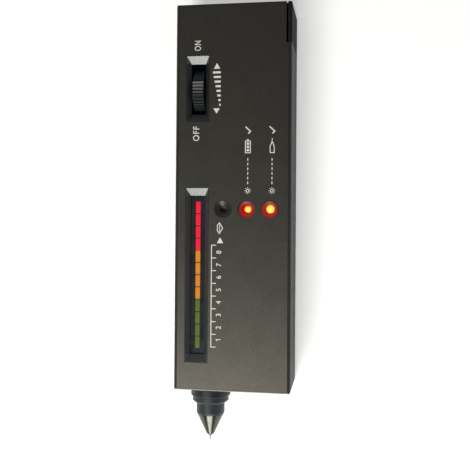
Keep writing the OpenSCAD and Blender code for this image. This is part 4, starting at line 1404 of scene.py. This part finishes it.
@dataclass
class PanelPrint:
    """Everything printed on the front panel; sizes in millimetres, and words and signs read towards +Y.

    A place is where a sign's foot line is along X, and where its reading starts from the nose.
    """

    film: float = 0.02
    sink: float = 0.004
    merge_um: float = 0.1
    capital_share: float = 0.72
    letter_space: float = 1.15
    ruler_x: float = -7.15
    ruler_from_nose: float = 15.1
    tick_pitch: float = 4.371
    tick_count: int = 9
    tick_length: float = 1.5
    stroke: float = 0.3
    figure_x: float = -4.6
    figure_height: float = 1.75
    figure_bold: float = 0.015
    figure_from_nose: float = 17.49
    figure_pitch: float = 4.316
    # Places along the figure, and heights as shares of its own
    one_outline: Loop = (
        (0.5, 0.0), (0.75, 0.0), (0.75, 1.0), (0.55, 1.0), (0.05, 0.76), (0.05, 0.6), (0.5, 0.76),
    )
    on_word: Word = Word("ON", 2.2, 0.03, 3.5)
    on_place: tuple[float, float] = (-11.41, 117.34)
    off_word: Word = Word("OFF", 2.2, 0.03, 5.0)
    off_place: tuple[float, float] = (-11.76, 86.06)
    volume_bars: BarRow = BarRow(8, -4.35, 98.5, 1.6, 0.72, (0.5, 2.8), Side.LEFT)
    pointer_up: Loop = ((0.0, 0.0), (2.0, 1.1), (0.0, 2.2))
    pointer_down: Loop = ((1.85, 0.0), (1.85, 2.2), (0.0, 1.1))
    louder_place: tuple[float, float] = (-4.59, 110.95)
    softer_place: tuple[float, float] = (-4.66, 95.42)
    scale_place: tuple[float, float] = (-3.08, 50.81)
    gem_outline: Loop = ((0.95, 2.0), (3.05, 2.0), (3.85, 1.3), (2.0, 0.2), (0.15, 1.3))
    gem_girdle: tuple[float, float, float, float] = (0.75, 1.16, 3.25, 1.4)
    gem_place: tuple[float, float] = (-3.12, 53.95)
    lamp_signs: LampSigns = LampSigns()
    battery_foot: float = 6.35
    ready_foot: float = 14.7
    lamp_start: float = 67.75
    leader_start: float = 71.1
    picture_start: float = 81.7
    tick_start: float = 88.2

    def place(self, x: float, from_nose: float) -> Matrix:
        """Gives the matrix that lays a flat sign on the panel.

        Args:
            x: where the sign's foot line is.
            from_nose: where its reading starts.

        Returns:
            The matrix from sign millimetres to the part's metres.
        """
        lift = PANEL_Z - self.sink + self.film / 2
        return (Matrix.Translation(metres((x, NOSE_Y + from_nose, lift)))
                @ Matrix.Rotation(math.pi / 2, 4, "Z") @ Matrix.Diagonal((MM, MM, MM, 1.0)))

    def sign(self, loops: list[Loop]) -> bpy.types.Mesh:
        """Fills outlines as a thin film; an outline inside another is a hole.

        Args:
            loops: the outlines.

        Returns:
            The film's mesh, in millimetres round its own origin.
        """
        curve = bpy.data.curves.new("sign", "CURVE")
        curve.dimensions = "2D"
        curve.fill_mode = "BOTH"
        curve.extrude = self.film / 2
        for loop in loops:
            spline = curve.splines.new("POLY")
            spline.points.add(len(loop) - 1)
            for point, (u, v) in zip(spline.points, loop):
                point.co = (u, v, 0.0, 1.0)
            spline.use_cyclic_u = True
        return flatten(bpy.data.objects.new("sign", curve))

    def word(self, word: Word) -> bpy.types.Mesh:
        """Sets a word in the plain sans face, as a thin film.

        Args:
            word: the word.

        Returns:
            The film's mesh, with its lower left corner at its origin.
        """
        curve = bpy.data.curves.new("word", "FONT")
        curve.body = word.text
        curve.size = word.height / self.capital_share
        curve.offset = word.bold
        curve.space_character = self.letter_space
        curve.extrude = self.film / 2
        mesh = flatten(bpy.data.objects.new("word", curve))
        low = [min(v.co[i] for v in mesh.vertices) for i in (0, 1)]
        high = [max(v.co[i] for v in mesh.vertices) for i in (0, 1)]
        tall = word.height / (high[1] - low[1])
        wide = tall if word.length is None else word.length / (high[0] - low[0])
        mesh.transform(Matrix.Diagonal((wide, tall, 1.0, 1.0)) @ Matrix.Translation((-low[0], -low[1], 0.0)))
        return mesh

    def gather(self, name: str, films: list[tuple[bpy.types.Mesh, Matrix]]) -> bpy.types.Object:
        """Joins films, each at its place, into one printed piece.

        Args:
            name: the piece's name.
            films: the meshes and where they go.

        Returns:
            The piece.
        """
        whole = bmesh.new()
        for mesh, matrix in films:
            mesh.transform(matrix)
            whole.from_mesh(mesh)
            bpy.data.meshes.remove(mesh)
        bmesh.ops.remove_doubles(whole, verts=whole.verts[:], dist=self.merge_um * MICRON)
        return link(name, solid_mesh(name, whole), INK)

    def bars_tree(self) -> bpy.types.GeometryNodeTree:
        """Builds the tree of a row of printed bars, whose lengths go evenly from a first to a last one.

        Returns:
            The tree.
        """
        tree = new_tree("printed bars", (
            ("Count", "Int"), ("Start", "Vector"), ("Pitch", "Float"), ("Thickness", "Float"), ("First", "Float"),
            ("Last", "Float"), ("Film", "Float"), ("Side", "Float"), ("Ink", "Material"),
        ))
        given = add(tree, "NodeGroupInput").outputs
        step = add(tree, "ShaderNodeCombineXYZ", {1: given["Pitch"]})
        row = add(tree, "GeometryNodeMeshLine",
                  {"Count": given["Count"], "Start Location": given["Start"], "Offset": step.outputs[0]})
        half = add(tree, "ShaderNodeMath", {0: given["Side"], 1: 0.5}, operation="MULTIPLY")
        shift = add(tree, "ShaderNodeCombineXYZ", {0: half.outputs[0]})
        size = add(tree, "ShaderNodeCombineXYZ", {0: 1.0, 1: given["Thickness"], 2: given["Film"]})
        bar = add(tree, "GeometryNodeMeshCube", {"Size": size.outputs[0]})
        foot = add(tree, "GeometryNodeTransform", {"Geometry": bar.outputs[0], "Translation": shift.outputs[0]})
        last = add(tree, "ShaderNodeMath", {0: given["Count"], 1: 1.0}, operation="SUBTRACT")
        safe = add(tree, "ShaderNodeMath", {0: last.outputs[0], 1: 1.0}, operation="MAXIMUM")
        index = add(tree, "GeometryNodeInputIndex")
        length = add(tree, "ShaderNodeMapRange", {
            "Value": index.outputs[0], "From Min": 0.0, "From Max": safe.outputs[0],
            "To Min": given["First"], "To Max": given["Last"],
        })
        scale = add(tree, "ShaderNodeCombineXYZ", {0: length.outputs[0], 1: 1.0, 2: 1.0})
        bars = add(tree, "GeometryNodeInstanceOnPoints",
                   {"Points": row.outputs[0], "Instance": foot.outputs[0], "Scale": scale.outputs[0]})
        real = add(tree, "GeometryNodeRealizeInstances", {"Geometry": bars.outputs[0]})
        inked = add(tree, "GeometryNodeSetMaterial", {"Geometry": real.outputs[0], "Material": given["Ink"]})
        add(tree, "NodeGroupOutput", {"Geometry": inked.outputs[0]})
        return tree

    def bars(self, tree: bpy.types.GeometryNodeTree, row: BarRow) -> tuple[bpy.types.Mesh, Matrix]:
        """Runs the tree of printed bars.

        Args:
            tree: the tree.
            row: the row of bars.

        Returns:
            The bars' mesh, which is in metres and in place, and a matrix that leaves it there.
        """
        first, last = row.lengths
        mesh = bake(tree, {
            "Count": row.count, "Start": metres((row.x, NOSE_Y + row.from_nose, PANEL_Z - self.sink + self.film / 2)),
            "Pitch": row.pitch * MM, "Thickness": row.thickness * MM, "First": first * MM, "Last": last * MM,
            "Film": self.film * MM, "Side": row.side.value, "Ink": material_of(INK),
        })
        return mesh, Matrix.Identity(4)

    def ruler(self, tree: bpy.types.GeometryNodeTree) -> bpy.types.Object:
        """Prints the scale's line with its ticks.

        Args:
            tree: the tree of printed bars.

        Returns:
            The piece.
        """
        span = (self.tick_count - 1) * self.tick_pitch
        ticks = BarRow(self.tick_count, self.ruler_x + self.stroke / 2, self.ruler_from_nose, self.tick_pitch,
                       self.stroke, (self.tick_length, self.tick_length))
        line = BarRow(1, self.ruler_x - self.stroke / 2, self.ruler_from_nose + span / 2, 1.0, span + self.stroke,
                      (self.stroke, self.stroke))
        return self.gather("scale_ruler", [self.bars(tree, ticks), self.bars(tree, line)])

    def one(self) -> bpy.types.Mesh:
        """Draws a figure one with a flag, which the face's own lacks."""
        return self.sign([[(u, share * self.figure_height) for u, share in self.one_outline]])

    def figures(self) -> bpy.types.Object:
        """Prints the scale's figures.

        Returns:
            The piece.
        """
        films = []
        for number in range(1, self.tick_count):
            figure = Word(str(number), self.figure_height, self.figure_bold)
            mesh = self.one() if number == 1 else self.word(figure)
            width = max(v.co.x for v in mesh.vertices)
            start = self.figure_from_nose + (number - 1) * self.figure_pitch - width / 2
            films.append((mesh, self.place(self.figure_x + self.figure_height / 2, start)))
        return self.gather("scale_figures", films)

    def switch_words(self) -> bpy.types.Object:
        """Prints ON and OFF at the two ends of the wheel's window."""
        words = ((self.on_word, self.on_place), (self.off_word, self.off_place))
        return self.gather("switch_words", [(self.word(word), self.place(*place)) for word, place in words])

    def volume_ramp(self, tree: bpy.types.GeometryNodeTree) -> bpy.types.Object:
        """Prints the ramp of bars beside the wheel."""
        return self.gather("volume_ramp", [self.bars(tree, self.volume_bars)])

    def pointers(self) -> bpy.types.Object:
        """Prints the triangles beside the wheel and over the scale.

        Returns:
            The piece.
        """
        return self.gather("pointers", [
            (self.sign([self.pointer_up]), self.place(*self.louder_place)),
            (self.sign([self.pointer_down]), self.place(*self.softer_place)),
            (self.sign([self.pointer_up]), self.place(*self.scale_place)),
        ])

    def gem_mark(self) -> bpy.types.Object:
        """Prints the outline of a cut stone over the scale's top end."""
        loops = offset_line(self.gem_outline, self.stroke, True) + [block(*self.gem_girdle)]
        return self.gather("gem_mark", [(self.sign(loops), self.place(*self.gem_place))])

    def lamp_marks(self) -> bpy.types.Object:
        """Prints a row of signs above each lamp: lamp, leader, battery or probe, and a tick.

        Returns:
            The piece.
        """
        signs, films = self.lamp_signs, []
        for foot, picture in ((self.battery_foot, signs.battery()), (self.ready_foot, signs.probe())):
            row = (
                (signs.lamp(), self.lamp_start), (signs.leader(), self.leader_start), (picture, self.picture_start),
                (signs.tick(), self.tick_start),
            )
            films += [(self.sign(loops), self.place(foot, start)) for loops, start in row]
        return self.gather("lamp_marks", films)

    def build(self) -> list[str]:
        """Paints the plate and prints all marks on it.

        Returns:
            The pieces' names.
        """
        tree = self.bars_tree()
        pieces = [
            self.ruler(tree), self.figures(), self.switch_words(), self.volume_ramp(tree), self.pointers(),
            self.gem_mark(), self.lamp_marks(),
        ]
        return dress(PLATE_PAINT, "face_plate") + [piece.name for piece in pieces]


@dataclass(frozen=True)
class Softbox:
    """A softbox; lengths in millimetres, power in watts, and angles in degrees, the azimuth from -Y towards +X."""

    name: str
    azimuth: float
    elevation: float
    distance: float
    size: tuple[float, float]
    watts: float
    colour: str = WHITE

    def hang(self, aim: Vector) -> None:
        """Hangs the softbox so that it faces a point.

        Args:
            aim: the point, in metres.
        """
        data = bpy.data.lights.new(self.name, "AREA")
        data.shape = "RECTANGLE"
        data.size, data.size_y = metres(self.size)
        data.energy = self.watts
        data.color = linear(self.colour)[:3]
        a, e = math.radians(self.azimuth), math.radians(self.elevation)
        way = Vector((math.sin(a) * math.cos(e), -math.cos(a) * math.cos(e), math.sin(e)))
        made = bpy.data.objects.new(self.name, data)
        place = Matrix.Translation(aim + way * self.distance * MM)
        made.matrix_world = place @ way.to_track_quat("Z", "Y").to_matrix().to_4x4()
        bpy.context.scene.collection.objects.link(made)


@dataclass
class Studio:
    """Camera, lamps, floor and surroundings; lengths in millimetres and angles in degrees."""

    roll: float = -0.42
    tilt: float = -0.73
    swing: float = -9.04
    stand: tuple[float, float, float] = (1.07, -4.51, 244.6)
    panel_centre: tuple[float, float, float] = (0.0, 10.15, PANEL_Z)
    sensor: float = 36.0
    focal_px: float = 713.0
    shift: tuple[float, float] = (-0.00106, -0.0536)
    clip: tuple[float, float] = (10.0, 20000.0)
    lights: tuple[Softbox, ...] = (
        Softbox("low key", -2.0, 26.0, 620.0, (330.0, 230.0), 2.12, "#FFFEF2"),
        Softbox("front light", -18.0, 48.0, 700.0, (400.0, 250.0), 3.1),
        Softbox("ceiling card", -105.0, 64.0, 700.0, (300.0, 300.0), 0.06),
        Softbox("back card", 194.0, 29.0, 700.0, (300.0, 150.0), 0.04),
    )
    floor_colour: str = "#F4F4F2"
    fibre: float = 3.0
    fibre_um: float = 5.0
    sweep: tuple[tuple[float, float], ...] = (
        (2400.0, 0.0), (2800.0, 25.0), (3200.0, 110.0), (3550.0, 290.0), (3800.0, 560.0), (3950.0, 920.0),
        (4000.0, 1300.0), (4000.0, 1800.0),
    )
    sweep_steps: int = 96
    open_deg: tuple[float, float] = (32.0, 44.0)
    open_share: float = 0.22
    lift: tuple[float, float] = (0.42, 0.75)
    lift_mm: tuple[float, float] = (250.0, 1500.0)
    room: float = 0.12

    def camera(self) -> None:
        """Sets up the camera where the photograph was taken from."""
        turn = (Matrix.Rotation(math.radians(self.roll), 3, "Z") @ Matrix.Rotation(math.radians(self.tilt), 3, "X")
                @ Matrix.Rotation(math.radians(self.swing), 3, "Y")).transposed()
        data = bpy.data.cameras.new("camera")
        data.sensor_width = self.sensor
        data.lens = self.sensor * self.focal_px / PICTURE_PX
        data.shift_x, data.shift_y = self.shift
        data.clip_start, data.clip_end = metres(self.clip)
        made = bpy.data.objects.new("camera", data)
        place = turn @ Vector(metres(self.stand)) + Vector(metres(self.panel_centre))
        made.matrix_world = Matrix.Translation(place) @ turn.to_4x4()
        bpy.context.scene.collection.objects.link(made)
        bpy.context.scene.camera = made

    def sheet(self) -> bpy.types.Mesh:
        """Builds a sheet that rises all round into a backdrop, lower in front.

        Returns:
            The sheet's mesh.
        """
        shape = bmesh.new()
        rim = [shape.verts.new(metres((radius, 0, height))) for radius, height in self.sweep]
        edges = [shape.edges.new(pair) for pair in zip(rim, rim[1:])]
        bmesh.ops.spin(shape, geom=rim + edges, cent=(0, 0, 0), axis=(0, 0, 1), angle=math.tau,
                       steps=self.sweep_steps, use_merge=True)
        bmesh.ops.remove_doubles(shape, verts=shape.verts[:], dist=MM)
        shut, wide = (math.radians(angle) for angle in self.open_deg)
        for vert in shape.verts:
            turned = abs(math.atan2(vert.co.x, -vert.co.y))
            share = min(max((turned - shut) / (wide - shut), 0.0), 1.0)
            vert.co.z *= self.open_share + (1.0 - self.open_share) * share
        inner = [edge for edge in shape.edges if max(vert.co.z for vert in edge.verts) < MM]
        bmesh.ops.holes_fill(shape, edges=inner, sides=0)
        return solid_mesh("floor", shape)

    def paper(self) -> bpy.types.Material:
        """Builds matt paper: pale to the eye and in reflections, with the pen's shadow on it.

        Returns:
            The material.
        """
        made = bpy.data.materials.new("paper, pale")
        made.use_nodes = True
        tree = made.node_tree
        tree.nodes.clear()
        point = add(tree, "ShaderNodeTexCoord").outputs["Object"]
        fibre = add(tree, "ShaderNodeTexNoise", {"Vector": point, "Scale": scale_of(self.fibre)}).outputs[0]
        relief = add(tree, "ShaderNodeBump", {"Height": fibre, "Distance": self.fibre_um * MICRON})
        paper = add(tree, "ShaderNodeBsdfDiffuse", {"Color": linear(self.floor_colour), "Normal": relief.outputs[0]})
        path = add(tree, "ShaderNodeLightPath").outputs
        seen = path["Is Camera Ray"]
        for kind in ("Is Glossy Ray", "Is Transmission Ray"):
            seen = add(tree, "ShaderNodeMath", {0: seen, 1: path[kind]}, operation="MAXIMUM").outputs[0]
        far = add(tree, "ShaderNodeVectorMath", {0: point}, operation="LENGTH").outputs["Value"]
        level = add(tree, "ShaderNodeMapRange", {
            "Value": far, "From Min": self.lift_mm[0] * MM, "From Max": self.lift_mm[1] * MM,
            "To Min": self.lift[0], "To Max": self.lift[1],
        }).outputs[0]
        share = add(tree, "ShaderNodeMath", {0: seen, 1: level}, operation="MULTIPLY").outputs[0]
        white = add(tree, "ShaderNodeEmission", {"Color": linear(WHITE), "Strength": share})
        lit = add(tree, "ShaderNodeAddShader", {0: paper.outputs[0], 1: white.outputs[0]})
        add(tree, "ShaderNodeOutputMaterial", {"Surface": lit.outputs[0]})
        return made

    def floor(self) -> None:
        """Lays the sheet of paper under and round the pen."""
        mesh = self.sheet()
        mesh.materials.append(self.paper())
        floor = bpy.data.objects.new("floor", mesh)
        bpy.context.scene.collection.objects.link(floor)

    def world(self) -> None:
        """Surrounds the pen with an even dim room."""
        made = bpy.data.worlds.new("room")
        made.use_nodes = True
        tree = made.node_tree
        tree.nodes.clear()
        room = add(tree, "ShaderNodeBackground", {"Color": linear(WHITE), "Strength": self.room})
        add(tree, "ShaderNodeOutputWorld", {"Surface": room.outputs[0]})
        bpy.context.scene.world = made

    def build(self) -> None:
        """Builds the whole studio."""
        bpy.context.scene.view_settings.view_transform = "Standard"
        self.camera()
        for light in self.lights:
            light.hang(Vector(metres(self.panel_centre)))
        self.floor()
        self.world()


def main() -> None:
    """Builds the studio and every sub-assembly in order, and reports each piece."""
    logging.basicConfig(level=logging.INFO, format="%(name)s: %(message)s")
    Studio().build()
    parts = (
        ("case", CaseShell().dress), ("panel", PanelPrint().build), ("light bar", LightBar().build),
        ("lamps", LampRow().dress), ("volume", VolumeControl().dress), ("probe", Probe().build),
        ("power", PowerPack().dress), ("board", CircuitBoard().dress),
    )
    for title, make in parts:
        for name in make():
            log.info("%s: %s", title, name)


if __name__ == "__main__":
    main()
